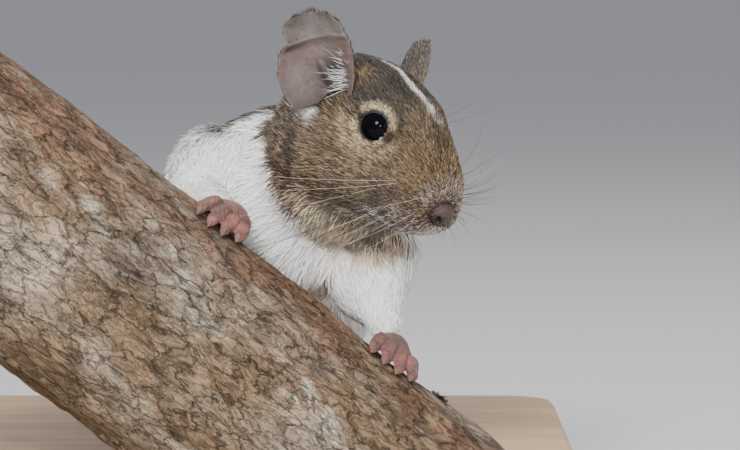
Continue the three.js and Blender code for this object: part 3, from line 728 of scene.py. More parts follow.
def body_colour(s):
    x, y, z = s.T
    wobble = noise(s, 14, 8)
    along = [17, 29, 46, 70, 94, 114, 128]
    centre_x = np.interp(y, along, [84, 79, 72, 63, 55, 48, 44])
    centre_z = np.interp(y, along, [66, 66, 64, 57, 47, 37, 29])
    above = z - centre_z + 0.10 * (centre_x - x)
    line = np.interp(y, [8, 24, 44, 62, 80, 140], [10, 15, 17, 4, -9, -12])
    line = line + 6.5 * smooth(centre_x - x, -2, 8) * smooth(-y, -66, -52)
    brown = smooth(above - line + 3.0 * wobble, -1.6, 1.6)
    brown = np.maximum(brown, smooth(y + 5 * wobble, 84, 88) * smooth(above, -20, -16))
    fur = layered(
        COAT["agouti"], COAT,
        ("grey", 0.7 * smooth(above, 4, 18)),
        ("dark", 0.45 * smooth(above, 14, 24)),
        ("warm", 0.5 * smooth(-above, -4, 14)),
        ("buff", 0.35 * bump(y - 22, 8) * smooth(-above, -30, -10)),
    )
    shade = mix(COAT["white"], fur * 1.3, brown)
    over = z - jowl_line(x)
    jowl = smooth(over + 1.2 * wobble, -0.8, 1.6) * (1 - smooth(y, 26, 34))
    shade = mix(shade, mix(COAT["agouti"], COAT["throat"], under_jaw(s)), jowl)
    return shade * (1 + (0.06 + 0.14 * brown) * noise(s, 2.6, 9) + 0.05 * wobble)[:, None]


# The skin


def region_weights(places, edges, names):
    """How much each skin point belongs to each CAD node, blended over their borders."""
    samples, labels = [], []
    rng = np.random.default_rng(5)
    for k, name in enumerate(names):
        p, t = arrays(frame["nodes"][name].data)
        size = areas(p, t)
        count = int(min(4000, 250 + 0.36 * size.sum()))
        pick = rng.choice(len(t), count, p=size / size.sum())
        w = rng.dirichlet([1, 1, 1], count)
        samples.append((p[t[pick]] * w[..., None]).sum(1))
        labels.append(np.full(count, k))
    samples, labels = np.concatenate(samples), np.concatenate(labels)
    tree = KDTree(len(samples))
    for i, p in enumerate(samples):
        tree.insert(p, i)
    tree.balance()
    nearest = np.array([labels[tree.find(p)[1]] for p in places])
    return relaxed(np.eye(len(names))[nearest], edges, 0.6, 8)


BODY_LINE = np.array([
    [99, 3, 82], [92, 12, 76], [84, 19, 69], [79, 29, 66], [72, 46, 64], [63, 70, 57],
    [55, 94, 47], [48, 114, 37], [45, 128, 28],
], float)
LIMB_LINES = {
    "foreleg_right": [[60, 46, 78], [53, 35, 72], [48, 24, 67], [52, 15, 66], [57, 9, 64]],
    "foreleg_left": [[91, 40, 66], [95, 32, 54], [97.5, 23, 46], [98, 15, 39], [97.5, 9, 32]],
    "hindleg_right": [[44, 100, 56], [36, 102, 42], [31, 98, 24], [33, 107, 9], [33, 109, 4]],
    "hindleg_left": [[64, 102, 56], [74, 105, 42], [81, 101, 24], [77, 110, 9], [76, 112, 4]],
}
TAIL_LINE = np.array([
    [46, 124, 33], [45, 137, 25], [50, 147, 13], [62, 151, 5.4], [80, 147, 3.9], [96, 135, 3.7],
    [106, 119, 3.8], [110, 101, 4.4], [109, 84, 5.4],
])


def curve(line, count):
    """Points evenly spread over a smooth line through the given points."""
    ends = np.concatenate([[2 * line[0] - line[1]], line, [2 * line[-1] - line[-2]]])
    spots = []
    for a, b, c, d in zip(ends, ends[1:], ends[2:], ends[3:]):
        t = np.linspace(0, 1, 24, endpoint=False)[:, None]
        spots.append(0.5 * (2 * b + (c - a) * t + (2 * a - 5 * b + 4 * c - d) * t**2
                            + (3 * b - a - 3 * c + d) * t**3))
    spots = np.concatenate(spots + [line[-1:]])
    reach = np.concatenate([[0], np.cumsum(np.linalg.norm(np.diff(spots, axis=0), axis=1))])
    even = np.linspace(0, reach[-1], count)
    return np.stack([np.interp(even, reach, spots[:, k]) for k in range(3)], 1)


def brush_core():
    """The tail's last stretch under the brush: a thin closed tube."""
    spine = curve(TAIL_LINE, 120)[82:]
    radii = np.interp(np.linspace(0, 1, len(spine)), [0, 0.8, 1], [2.7, 1.9, 0.5])
    sides = 10
    rings, faces = tube(spine, radii, sides)
    places = np.concatenate([rings, spine[:1], spine[-1:]])
    first, last = len(rings), len(rings) + 1
    caps = []
    for k in range(sides):
        m = (k + 1) % sides
        caps.append((first, m, k))
        caps.append((last, first - sides + k, first - sides + m))
    return row(places), np.concatenate([split_quads(faces), np.array(caps)])


def line_direction(s, line):
    """The direction of the nearest stretch of a line, eased over its corners."""
    gap, step = from_line(s, line)
    weight = 1 / (gap**4 + 1e-3)
    return unit((weight[..., None] * unit(step)).sum(1))


def coat_flow(s, h, normals, column, tail):
    """The way the fur lies at each skin point."""
    from_nose = unit(h - [31.0, 0, -1.5])
    backward = unit(from_nose + [-0.25, 0, -0.05])
    body = unit(line_direction(s, BODY_LINE) + [0, 0, -0.22])
    flow = column["head"][:, None] * (backward @ HEAD_TURN.T)
    flow = flow + (column["neck"] + column["torso"])[:, None] * body
    for name, line in LIMB_LINES.items():
        flow = flow + column[name][:, None] * line_direction(s, line)
    flow = flow + tail[:, None] * line_direction(s, TAIL_LINE)
    flow = unit(flow) + 0.16 * noise_vectors(s, 9, 91, 2)
    return unit(flow - (flow * normals).sum(1, keepdims=True) * normals)


def coat_length(s, h, column):
    """The fur's length at each skin point, in millimetres."""
    f, _, u = h.T
    reach, _, _, whole = eye_of(h)
    face = np.interp(f, [-24, -14, -4, 6, 14, 20, 24, 28], [6.0, 4.6, 3.6, 2.9, 2.5, 2.2, 1.9, 1.4])
    face = face * (1 + 0.35 * smooth(-u, 11, 16) * smooth(-f, -18, -10))
    face = face * (1 - 0.25 * smooth(u, 9, 15) * smooth(f, -8, 0))
    face = face * np.where(whole < 11, 0.4 + 0.6 * smooth(reach, 4.2, 8.0), 1)
    face = face * (1 - 0.6 * bump(near_mouth(h), 0.9))
    lengths = {
        "head": face, "neck": 7.5, "torso": 9.0, "tail_base": 3.6, "tail_middle": 3.2,
        "tail_end": 4.2, "tail_brush": np.interp(s[:, 0] - s[:, 1], [-12, 26], [7, 13]),
    }
    for side in ("left", "right"):
        wrist = np.linalg.norm(s - LIMB_LINES[f"foreleg_{side}"][-1], axis=1)
        lengths[f"foreleg_{side}"] = np.interp(wrist, [2, 8, 20, 40], [3.0, 3.6, 5.5, 8.0])
        lengths[f"hindleg_{side}"] = np.interp(s[:, 2], [4, 10, 20, 40], [2.6, 3.4, 5.5, 8.5])
    return sum(column[name] * length for name, length in lengths.items())


def coat_fields(places, normals, column, tail):
    """Flow, length, width, lift and number of the tufts at each skin point."""
    s = specimen(places)
    h = to_head(s)
    length = coat_length(s, h, column)
    lift = np.interp(length, [1, 3, 6, 9], [22, 21, 17, 14])
    number = np.interp(length, [1, 2, 3, 5, 7, 9], [20, 19, 15.5, 8, 5.4, 4.4])
    return {
        "flow": coat_flow(s, h, normals, column, tail),
        "length": length,
        "width": np.interp(length, [1, 3, 6, 9], [0.12, 0.16, 0.24, 0.31]),
        "lift": lift + column["tail_brush"] * 4,
        "number": number + tail * 5 - column["tail_brush"] * 4,
    }


SKIN_SPREAD = 0.22


def make_skin():
    places, quads = remeshed("skin", SOLID_FLESH, VOXELS["skin"], SKIN_SPREAD, [brush_core()])
    edges = edges_of(quads)
    column = dict(zip(FLESH, region_weights(places, edges, FLESH).T))
    tail = sum(share for name, share in column.items() if name.startswith("tail"))
    f = to_head(specimen(places))[:, 0]
    loose = 0.55 * (1 - column["head"] * smooth(f, -22, -14)) * (1 - 0.9 * tail)
    places = relaxed(places, edges, loose, 26)
    places = relaxed(places, edges, 0.25, 2)
    normals = normals_of(places, split_quads(quads))
    fields = coat_fields(places, normals, column, tail)
    depth = np.interp(fields["length"], [1, 3, 6, 9], [0.1, 0.4, 0.9, 1.4])
    depth = depth * (1 - 0.8 * smooth(column["tail_brush"], 0.2, 0.8))
    places = relaxed(places - normals * (depth * MM)[:, None], edges, 0.3, 1)
    s = specimen(places)
    shade = mix(body_colour(s), head_colour(s), column["head"])
    along_tail = smooth(s[:, 0] - s[:, 1], -70, -10)
    tail_shade = mix(COAT["agouti"] * 0.7, COAT["black"], along_tail)
    shade = mix(shade, tail_shade, smooth(tail, 0.3, 0.7))
    made = mesh_object("skin", places, quads)
    pale = smooth(shade.min(1), 0.3, 0.6)[:, None]
    paint(made, shade * (0.36 + 0.5 * pale))
    finish(made, under_fur_material("under_fur"), FLESH)
    unwrap(made)
    return made, places, quads, normals_of(places, split_quads(quads)), fields, shade


def unwrap(made):
    bpy.context.view_layer.objects.active = made
    for other in bpy.context.view_layer.objects:
        other.select_set(other == made)
    made.data.uv_layers.new(name="OFBake")
    bpy.ops.object.mode_set(mode="EDIT")
    bpy.ops.mesh.select_all(action="SELECT")
    bpy.ops.uv.smart_project(angle_limit=math.radians(72), island_margin=0.002)
    bpy.ops.object.mode_set(mode="OBJECT")


def scattered(made, quads, wanted, rng):
    """Random roots over a piece of quads, with the wanted number on each triangle.

    Gives their number, a function that blends the points' values at the roots, and the
    roots' places on the piece's unwrap.
    """
    total = int(wanted.sum())
    pick = rng.choice(len(wanted), total, p=wanted / wanted.sum())
    w = rng.dirichlet([1, 1, 1], total)
    corners = split_quads(quads)[pick]

    def at(values):
        share = w[..., None] if values.ndim > 1 else w
        return (values[corners] * share).sum(1)

    uv = read(made.data.uv_layers["OFBake"].data, "uv", 2).reshape(-1, 4, 2)
    return total, at, (split_quads(uv)[pick] * w[..., None]).sum(1)


TUFTS_A_PIECE = 39000
TUFT_STEPS = np.array([0.0, 0.0, 0.34, 0.34, 0.7, 0.7, 1.0])
TUFT_WIDTHS = np.array([0.55, 0.55, 1.0, 1.0, 0.72, 0.72, 0.0])
TUFT_SIDES = np.array([-0.5, 0.5, -0.5, 0.5, -0.5, 0.5, 0.0])
TUFT_LEVELS = np.array([0, 0, 1, 1, 2, 2, 3])
TUFT_FACES = np.array([[0, 1, 3], [0, 3, 2], [2, 3, 5], [2, 5, 4], [4, 5, 6]])
UV_PATCH = 0.003


def lay_tufts(name, roots, normals, flow, length, width, lift, shades, uv, rng, material):
    """Thin tapered tufts as mesh: four levels, five triangles each, roots sunk in the skin."""
    count = len(roots)
    swing = rng.normal(0, 0.17, count)
    side = np.cross(normals, flow)
    flow = unit(flow * np.cos(swing)[:, None] + side * np.sin(swing)[:, None])
    side = np.cross(normals, flow)
    roll = rng.uniform(-0.75, 0.75, count)
    blade = side * np.cos(roll)[:, None] + normals * np.sin(roll)[:, None]
    length = length * rng.uniform(0.7, 1.15, count)
    lift = np.radians(lift * rng.uniform(0.55, 1.5, count))
    width = width * rng.uniform(0.75, 1.3, count)
    sway = rng.normal(0, 0.06, count)
    sink = np.minimum(0.22, 0.06 * length)
    bend = np.interp(length, [1.5, 5], [0.4, 0.62])
    places = np.zeros((count, len(TUFT_STEPS), 3))
    for k, (t, half) in enumerate(zip(TUFT_STEPS, TUFT_SIDES * TUFT_WIDTHS)):
        parts = (
            (flow, np.cos(lift) * t * length),
            (normals, np.sin(lift) * t * (1 - bend * t) * length - sink),
            (side, sway * length * t * t),
            (blade, half * width),
        )
        places[:, k] = roots + MM * sum(way * share[:, None] for way, share in parts)
    patch = UV_PATCH * np.stack([TUFT_SIDES, TUFT_STEPS - 0.5], 1)
    for piece, start in enumerate(range(0, count, TUFTS_A_PIECE)):
        cut = slice(start, start + TUFTS_A_PIECE)
        own = places[cut]
        faces = (np.arange(len(own))[:, None, None] * len(TUFT_STEPS) + TUFT_FACES).reshape(-1, 3)
        made = mesh_object(f"{name}_{piece + 1}", own.reshape(-1, 3), faces)
        paint(made, shades[cut][:, TUFT_LEVELS].reshape(-1, 3))
        layer = made.data.uv_layers.new(name="OFBake")
        corner = np.clip(uv[cut][:, None] + patch, 0, 1).reshape(-1, 2)[faces.ravel()]
        layer.data.foreach_set("uv", corner.astype(np.float32).ravel())
        finish(made, material)


def banded(shade, rng, white):
    """Root, lower, upper and tip colours of each tuft: dark root, pale band, often dark tip."""
    count = len(shade)
    light = np.exp(rng.normal(0, 0.30, count))[:, None]
    dark_tip = (rng.random(count) < 0.45)[:, None]
    levels = np.zeros((count, 4, 3))
    brown = shade * light
    levels[:, 0] = brown * 0.25
    levels[:, 1] = brown * np.where(dark_tip, 0.45, 0.9)
    levels[:, 2] = brown * np.where(dark_tip, 0.5, 1.9) * [1.0, 0.98, 0.92]
    levels[:, 3] = brown * np.where(dark_tip, 0.2, 2.4) * [1.0, 0.98, 0.93]
    pale = shade * np.exp(rng.normal(0, 0.08, count))[:, None]
    plain = np.stack([pale * 0.74, pale * 0.92, pale, pale * 1.05], 1)
    w = white[:, None, None]
    return np.clip(levels * (1 - w) + plain * w, 0, 0.95)


def coat(skin, places, quads, normals, fields, shade):
    rng = np.random.default_rng(11)
    triangles = split_quads(quads)
    h = to_head(specimen(places[triangles[:, 0]]))
    off_axis, _, _, whole = eye_of(h)
    from_nose = np.linalg.norm((h - NOSE_PLACE) / NOSE_SIZE, axis=1)
    wanted = areas(places, triangles) * fields["number"][triangles].mean(1)
    wanted = wanted * ((whole > 5.6) | (off_axis > 4.0)) * smooth(from_nose, 0.95, 1.1)
    total, at, spots = scattered(skin, quads, wanted, rng)
    own = at(shade)
    white = smooth(own.min(1), 0.25, 0.42)
    lay_tufts(
        "coat", at(places), unit(at(normals)), unit(at(fields["flow"])), at(fields["length"]),
        at(fields["width"]), at(fields["lift"]), banded(own, rng, white), spots, rng,
        fur_material("fur"),
    )
    return total


# Eyes, lids and nose


def ball(name, centre, radius, segments, rings):
    """A round piece in the head's frame, with a tiny opening at each pole."""
    builder = bmesh.new()
    bmesh.ops.create_uvsphere(builder, u_segments=segments, v_segments=rings, radius=1.0)
    builder.verts.index_update()
    places = np.array([v.co for v in builder.verts]) * radius + centre
    quads = [[v.index for v in face.verts] for face in builder.faces if len(face.verts) == 4]
    builder.free()
    return mesh_object(name, row(from_head(places)), quads)


LID_STEPS, LID_SIDES = 72, 14


def lids(centre, gaze, forward, upward):
    """Points of the lids' rounded rim on the eyeball, drawn out at the front corner."""
    spots = []
    for angle in 2 * math.pi * np.arange(LID_STEPS) / LID_STEPS:
        corner = bump(wrapped(angle + 0.42), 0.34)
        radius = 3.72 + 0.45 * corner + 0.15 * bump(wrapped(angle - math.pi), 0.4)
        flat = math.cos(angle) * forward + 0.94 * math.sin(angle) * upward
        out = unit(flat * radius + gaze * math.sqrt(EYE_RADIUS**2 - radius**2))
        outward = unit(flat - (flat @ out) * out)
        heavy = 0.26 + 0.12 * max(0, math.sin(angle)) + 0.08 * corner
        for turn in 2 * math.pi * np.arange(LID_SIDES) / LID_SIDES:
            bulge = 1.35 * math.cos(turn) * outward + 0.75 * math.sin(turn) * out
            spots.append(centre + out * (EYE_RADIUS + 0.10) + heavy * bulge)
    return np.array(spots)


def eyes():
    gloss = Nodes("eye_gloss")
    gloss.surface(Base_Color=(0.002, 0.002, 0.003), Roughness=0.06, Specular_IOR_Level=0.06)
    lid = skin_material("lid_skin", (0.008, 0.006, 0.006), 0.5, 1500, 0.00015)
    # Corner bead: pinkish corner skin, its pale colour partly a painted glint of the wet corner.
    pink = skin_material("eye_corner_and_glint", (0.22, 0.19, 0.22), 0.2, 1500, 0.0001)
    lid_quads = ring_quads(LID_STEPS, LID_SIDES, closed=True)[:, [0, 3, 2, 1]]
    for name, side in (("left", 1.0), ("right", -1.0)):
        mirror = np.array([1, side, 1])
        centre, gaze = EYE_PLACE * mirror, EYE_GAZE * mirror
        upward = unit(np.array([0, 0, 1.0]) - gaze[2] * gaze)
        forward = unit(np.array([1.0, 0, 0]) - gaze[0] * gaze - upward[0] * upward)
        eyeball = ball(f"eyeball_{name}", centre, EYE_RADIUS, 48, 32)
        finish(eyeball, gloss.material, [f"eye_{name}"])
        rim = row(from_head(lids(centre, gaze, forward, upward)))
        finish(mesh_object(f"lids_{name}", rim, lid_quads), lid)
        # The pale bead at the front corner also stands for a painted glint.
        spot = centre + unit(forward * 3.3 - upward * 1.5 + gaze * 3.1) * (EYE_RADIUS - 0.05)
        finish(ball(f"eye_corner_and_glint_{name}", spot, 0.5, 20, 14), pink)


NOSE_TONES = {
    "pad": (0.042, 0.020, 0.019),
    "top": (0.075, 0.042, 0.039),
    # Painted shade in the nostrils' openings.
    "nostril_shade": (0.006, 0.003, 0.003),
}


def nose():
    places, quads = remeshed("nose", ["nose"], VOXELS["nose"])
    h = to_head(specimen(relaxed(places, edges_of(quads), 0.5, 6)))
    away = np.abs(h[:, 1])
    slant = 0.5 * (away - 2.0)
    # Painted shade: near-black commas where the nostrils open.
    inside = bump(away - 2.1, 1.3) * bump(h[:, 2] + 3.1 - slant, 0.8) * smooth(h[:, 0], 26.2, 27.4)
    shade = layered(
        NOSE_TONES["pad"], NOSE_TONES,
        ("top", 0.6 * smooth(h[:, 2], -2.4, -0.4)),
        ("nostril_shade", np.clip(1.4 * inside, 0, 0.95)),
    )
    h = NOSE_PLACE + (h - NOSE_PLACE) * [1.1, 1.14, 1.14]
    made = mesh_object("nose_pad", row(from_head(h)), quads)
    paint(made, shade)
    finish(made, skin_material("nose_skin", None, 0.38, 1500, 0.00022), ["nose"])


# Ears

EAR_LENGTH = 24.0
EAR_HALF_WIDTH = 9.7
EAR_WIDTHS = [0.76, 0.92, 1.0, 1.0, 0.98, 0.94, 0.88]
EAR_REAR = (
    [0.0, 0.03, 0.17, 0.37, 0.57, 0.69, 0.72, 0.86, 0.96, 1.0],
    [5.6, 6.2, 8.4, 9.6, 9.0, 7.2, 7.7, 7.4, 5.2, 2.4],
)
EAR_SET = {
    "right": (-1.0, [-9.2, -16.8, 4.2], [0.66, -0.72, 0.1], [-0.45, -0.28, 0.85]),
    "left": (1.0, [-10.8, 15.0, 4.3], [0.8, 0.6, -0.1], [-0.5, 0.74, 0.44]),
}


EAR_TONES = {
    "back": (0.08, 0.062, 0.052),
    "inside": (0.085, 0.062, 0.056),
    # flap: the turned-over tip, partly its greyer skin, partly painted light shining through it.
    "flap": (0.09, 0.074, 0.07),
    "rose": (0.115, 0.048, 0.038),
    "pale": (0.155, 0.125, 0.118),
    # edge: a painted highlight along the lower edge of the turned-over tip.
    "edge": (0.19, 0.16, 0.15),
    # crease: a painted shadow just under the turned-over tip.
    "crease": (0.05, 0.032, 0.028),
    # The ear canal's opening: painted shade, near black.
    "canal_shade": (0.008, 0.005, 0.005),
}


def ear_skin_material():
    n = Nodes("ear_skin")
    fine = n.noise(900, 5)
    veins = n.noise(190, 3, 0.5, distortion=1.2)
    tone = n.tint(n.attribute(), fine, 0.6, 0.75, 1.2)
    n.surface(Base_Color=n.tint(tone, veins, 0.5, 0.75, 1.2), Roughness=0.55)
    n.surface(Subsurface_Weight=0.25, Subsurface_Radius=(0.003, 0.0012, 0.0008))
    n.surface(Subsurface_Scale=0.5, Normal=n.bump(fine, 0.0002))
    return n.material


def ear_outline(a, v):
    """How far ear points move along the ear's width, for its rounded and notched edge."""
    half = EAR_HALF_WIDTH * np.interp(v, np.linspace(0, 1, 7), EAR_WIDTHS)
    half = half * np.sqrt(1 - np.clip((v - 0.6) / 0.4, 0, 0.98) ** 2)
    rear = np.clip(np.interp(v, *EAR_REAR) / half, 0.6, 1.5)
    fore = np.interp(v, [0.6, 0.76, 0.92, 1.0], [1.0, 0.95, 1.1, 1.3])
    return a * (np.where(a < 0, rear, fore) - 1)


def ear_folds(a, v, over, flat):
    """How far ear points stand out: the tip turned over, ridges, hollows and small dents."""
    flap = smooth(over, -0.012, 0.02) * np.exp(-np.maximum(over, 0) / 0.16) * smooth(-a, -7, -3)
    return (
        0.75 * flap
        - 0.3 * bump(over + 0.05, 0.05) * smooth(-a, -6, 0)
        - 0.5 * bump(over - 0.1 + 0.02 * (a + 3), 0.05) * smooth(-a, -2, 5)
        + 0.55 * bump(a - 2.4 + 9 * (v - 0.3), 0.9) * bump(v - 0.36, 0.16)
        - 0.4 * bump(a + 2.0 + 7 * (v - 0.3), 1.2) * bump(v - 0.4, 0.15)
        + 0.26 * noise(flat, 4.0, 13, 2)
        + 0.08 * noise(flat, 1.3, 14, 2)
    )


def ear_colour(a, v, over, flat, inner):
    # Painted shade where the ear canal opens.
    canal_shade = bump(a - 4.0, 3.6) * bump(v - 0.32, 0.19)
    rose = bump(v - 0.5, 0.2) * smooth(noise(flat, 3.2, 16), -0.5, 0.8)
    return layered(
        EAR_TONES["back"], EAR_TONES,
        ("inside", inner),
        # Turned-over tip: partly greyer skin, partly painted light shining through it.
        ("flap", 0.8 * smooth(over, -0.01, 0.03) * inner),
        ("rose", 0.65 * inner * rose * smooth(-over, -0.01, 0.02)),
        ("pale", 0.7 * inner * bump(a + 5, 3) * bump(v - 0.3, 0.2)),
        # Painted highlight along the lower edge of the turned-over tip.
        ("edge", 0.7 * inner * bump(over - 0.012, 0.018)),
        # Painted shadow just under the turned-over tip.
        ("crease", 0.7 * inner * bump(over + 0.035, 0.025)),
        ("canal_shade", np.clip(1.2 * inner * canal_shade, 0, 0.95)),
    )


def ears():
    material = ear_skin_material()
    rng = np.random.default_rng(23)
    for name, (side, root, opens, points) in EAR_SET.items():
        places, quads = remeshed(f"ear_{name}", [f"ear_{name}"], VOXELS["ear"])
        places = relaxed(places, edges_of(quads), 0.5, 8)
        opens = unit(opens)
        points = unit(points - np.dot(points, opens) * opens)
        front = np.cross(points, opens) * -side
        a, b, _ = ((to_head(specimen(places)) - root) @ np.stack([front, points, opens], 1)).T
        facing, tip, forward = (way @ HEAD_TURN.T for way in (opens, points, front))
        v = b / EAR_LENGTH
        wider = ear_outline(a, v)
        a = a + wider
        flat = np.stack([a, b, 0 * a], 1)
        over = v - 0.695 - 0.004 * a + 0.012 * noise(flat, 7, 15, 2)
        fold = ear_folds(a, v, over, flat) * (1.0 if side < 0 else 0.35)
        places = places + (wider[:, None] * forward + fold[:, None] * facing) * MM
        normals = normals_of(places, split_quads(quads))
        inner = smooth(normals @ facing, -0.1, 0.25)
        shade = ear_colour(a, v, over, flat, inner)
        made = mesh_object(f"ear_leaf_{name}", places, quads)
        paint(made, shade)
        finish(made, material, [f"ear_{name}"])
        unwrap(made)
        ear_hair(name, made, places, quads, normals, a, v, inner, shade, tip, -forward, rng)


def ear_hair(name, made, places, quads, normals, a, v, inner, shade, tip, rear, rng):
    """Short hair over an ear, dense on its back and rim, and a long white tuft at its front."""
    narrow = np.sqrt(1 - np.clip((v - 0.6) / 0.4, 0, 0.99) ** 2)
    rim = smooth(np.abs(a) / (EAR_HALF_WIDTH * narrow), 0.86, 0.97)
    front = bump(a - 7.4, 1.0) * bump(v - 0.32, 0.2) * inner
    dense = 1.6 + 6.4 * (1 - inner) + 5.0 * rim + 2.4 * front
    triangles = split_quads(quads)
    wanted = areas(places, triangles) * dense[triangles].mean(1)
    total, at, spots = scattered(made, quads, wanted, rng)
    n = unit(at(normals))
    long_hair = at(front)
    back = 1 - at(inner)
    fan = (2.4 * (at(v) - 0.26))[:, None]
    flow = mix(tip, rear + fan * tip, np.clip(3 * long_hair, 0, 1))
    flow = unit(flow - (flow * n).sum(1, keepdims=True) * n)
    length = 1.0 + back + rng.uniform(3.5, 8.5, total) * smooth(long_hair, 0.1, 0.6)
    width = 0.06 + 0.07 * back + 0.02 * long_hair
    own = mix(at(shade) * 0.9, (0.085, 0.068, 0.052), back)
    own = mix(own, (0.8, 0.79, 0.78), np.clip(long_hair * 2.2, 0, 1))
    shades = banded(own, rng, np.clip(long_hair * 3, 0, 1))
    lay_tufts(
        f"ear_hair_{name}", at(places), n, flow, length, width, 12 + 16 * long_hair, shades,
        spots, rng, fur_material(f"ear_hair_{name}"),
    )


# Paws


def laid_on_bark(s):
    """Finger points brought lower over the bark."""
    away = s - BRANCH_START
    distance, out, side = away @ ALONG, away @ OUT, away[:, 1]
    angle, radius = np.arctan2(side, out), np.hypot(out, side)
    ground = BRANCH_RADIUS + bark_relief(distance, angle)
    height = radius - ground
    fingers = smooth(-np.degrees(angle), 3, 11) * (height > 0)
    return branch_point(distance, angle, ground + height * (1 - 0.34 * fingers))


PAW_TONES = {
    "plain": (0.15, 0.075, 0.06),
    "pink": (0.28, 0.105, 0.085),
    "crease": (0.09, 0.05, 0.04),
    "pale": (0.26, 0.20, 0.17),
}


def paws():
    skin = skin_material("paw_skin", None, 0.5, 1100, 0.00028)
    for name in ("forepaw_left", "forepaw_right", "hindfoot_left", "hindfoot_right"):
        fore = name.startswith("fore")
        places, quads = remeshed(name, [name], VOXELS["paw"], 0.3 if fore else 0.0)
        s = specimen(relaxed(places, edges_of(quads), 0.5, 4))
        if fore:
            s = laid_on_bark(s)
        shade = layered(
            PAW_TONES["plain"], PAW_TONES,
            ("pink", smooth(noise(s, 3.0, 18), -0.3, 0.6)),
            ("crease", 0.75 * smooth(noise(s, 1.6, 19), 0.1, 0.7)),
            ("pale", 0.0 if fore else 0.6),
        )
        made = mesh_object(name + "_skin", row(s), quads)
        paint(made, shade * (1 + 0.2 * noise(s, 0.8, 17, 2))[:, None])
        finish(made, skin, [name])


FOREPAW_GRIPS = ((74.3, -6), (126.7, 6))
HINDFOOT_LINES = (([33.5, 109, 0], [27, 76, 0], -1), ([76.5, 112, 0], [84, 79, 0], 1))
FINGER_SPREAD = [-5.0, -1.7, 1.6, 4.8]
FINGER_REACH = [14, 17.5, 18, 14.5]
TOE_SPREAD = [-5.0, -2.0, 1.2, 4.2]
TOE_REACH = [7.5, 10.5, 10.5, 8.5]


def tube(spine, radii, sides=7):
    """A tapered tube along points, open at both ends, as places and quads."""
    spine = np.asarray(spine, float)
    ahead = unit(np.gradient(spine, axis=0))
    across = unit(np.cross(ahead, [0.13, 0.21, 0.97]))
    other = np.cross(ahead, across)
    turns = (2 * math.pi * np.arange(sides) / sides)[:, None]
    ring = np.cos(turns) * across[:, None] + np.sin(turns) * other[:, None]
    rings = spine[:, None] + np.asarray(radii)[:, None, None] * ring
    return rings.reshape(-1, 3), ring_quads(len(spine), sides)


def joined_tubes(name, tubes):
    places, faces, start = [], [], 0
    for p, q in tubes:
        places.append(p)
        faces.append(q + start)
        start += len(p)
    return mesh_object(name, row(np.concatenate(places)), np.concatenate(faces))


def claws():
    tubes = []
    t = np.linspace(0, 1, 9)
    rise = 1.1 + 0.4 * np.sin(math.pi * t) - 0.9 * t
    for grip, turn in FOREPAW_GRIPS:
        for spread, reach in zip(FINGER_SPREAD, FINGER_REACH):
            out = grip + spread * 1.2 + turn * 0.2
            spine = [over_bark(out, reach + 0.6 + 4.6 * x, high) for x, high in zip(t, rise)]
            tubes.append(tube(spine, 0.55 * (1 - t) ** 0.7 + 0.03))
    t = np.linspace(0, 1, 8)
    rise = 1.6 + 0.5 * np.sin(math.pi * t) - 1.1 * t
    for heel, toes, side in HINDFOOT_LINES:
        along = unit(np.subtract(toes, heel))
        across = np.cross([0, 0, 1.0], along) * -side
        for spread, reach in zip(TOE_SPREAD, TOE_REACH):
            base = heel + along * (24.5 + reach - 0.6) + across * spread * 1.35
            spine = [base + along * 3.4 * x + [0, 0, high] for x, high in zip(t, rise)]
            tubes.append(tube(spine, 0.6 * (1 - t) ** 0.7 + 0.03))
    horn = grained("claw_horn", (0.16, 0.10, 0.075), 1500, 3, 0.7, 0.3, 0.0001)
    finish(joined_tubes("claws", tubes), horn)


WHISKER_LINES = 7
WHISKERS_A_LINE = 7
BROW_HAIRS = 4


def whisker(surface, start, heading, sag, reach, thick):
    """One bent hair, rooted on the skin."""
    root = specimen(surface.find_nearest(Vector(row(from_head(start))))[0])
    t = np.linspace(0, 1, 14)[:, None]
    spine = to_head(root) + reach * (t * unit(heading) + t**2 * sag) - 0.4 * unit(heading)
    return tube(from_head(spine), thick * (1 - t[:, 0]) ** 0.8 + 0.010, 4)


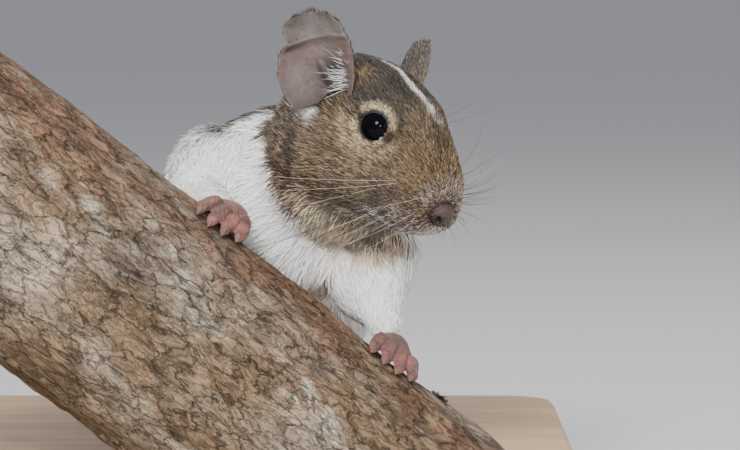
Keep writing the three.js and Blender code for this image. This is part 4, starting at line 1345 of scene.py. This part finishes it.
def whiskers(places, quads):
    """Rows of whiskers from both pads and a few hairs over each eye."""
    rng = np.random.default_rng(31)
    surface = BVHTree.FromPolygons(places.tolist(), quads.tolist())
    hairs = {"dark": [], "pale": []}
    for side, low in ((-1.0, -1.05), (1.0, -0.6)):
        for k in range(WHISKER_LINES * WHISKERS_A_LINE):
            line, step = divmod(k, WHISKERS_A_LINE)
            start = [24.5 - 1.6 * step, side * (7.0 + 0.7 * step), -6.6 + 1.25 * line - 0.15 * step]
            reach = 13 + 4.4 * step + 1.2 * line + rng.uniform(-3, 5)
            ahead = 0.05 - 0.06 * step + rng.uniform(-0.09, 0.09)
            up = low + 0.12 * line + rng.uniform(-0.09, 0.09)
            sag = np.array([-0.20 - 0.1 * rng.random(), 0, -0.06 - 0.12 * rng.random()])
            kind, thick = ("pale", 0.02) if rng.random() < 0.35 else ("dark", 0.055)
            hairs[kind].append(whisker(surface, start, [ahead, side, up], sag, reach, thick))
        sag = np.array([-0.2, 0, -0.1])
        for k in range(BROW_HAIRS):
            start = [3.5 + 1.5 * k, side * 9.0, 13.5 - 0.4 * k]
            heading = [-0.1 + 0.2 * k, side * 0.75, 0.7]
            hairs["dark"].append(whisker(surface, start, heading, sag, 9 + 3 * k, 0.035))
    for kind, tone in (("dark", 0.02), ("pale", 0.6)):
        n = Nodes(f"whiskers_{kind}")
        n.surface(Base_Color=(tone, tone * 0.95, tone * 0.9), Roughness=0.35)
        finish(joined_tubes(f"whiskers_{kind}", hairs[kind]), n.material)


# Stand


def stand():
    wood = Nodes("stand_wood")
    grain = wood.noise(42, 6, 0.6, (0.35, 4.0, 1.0), 0.6)
    pores = wood.noise(900, 3, 0.6, (0.12, 2.0, 1.0))
    tone = wood.ramp(grain, (0.3, (0.42, 0.26, 0.13)), (0.7, (0.62, 0.43, 0.25)))
    wood.surface(Base_Color=wood.tint(tone, pores, 0.6), Roughness=0.42)
    wood.surface(Normal=wood.bump(pores, 0.0002))
    steel = Nodes("stand_steel")
    brushed = steel.noise(800, 3, 0.6, (6.0, 6.0, 0.2))
    steel.surface(Base_Color=(0.52, 0.52, 0.54), Metallic=1.0, Roughness=0.32)
    steel.surface(Normal=steel.bump(brushed, 0.00008))
    for name, made, slot in (("stand_base", wood, "stand_wood"), ("stand_rod", steel, "stand_steel")):
        node = frame["nodes"][name]
        node.data.materials.clear()
        node.data.materials.append(made.material)


camera()
stage()
stand()
branch()
branch_end()
SKIN = make_skin()
TUFTS = coat(*SKIN)
eyes()
nose()
ears()
paws()
claws()
whiskers(*SKIN[1:3])


def plain(corners):
    return [[float(x) for x in corner] for corner in corners]


{"cad": plain(CAD_BOX), "visual": plain(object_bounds())}
print("tufts", TUFTS)
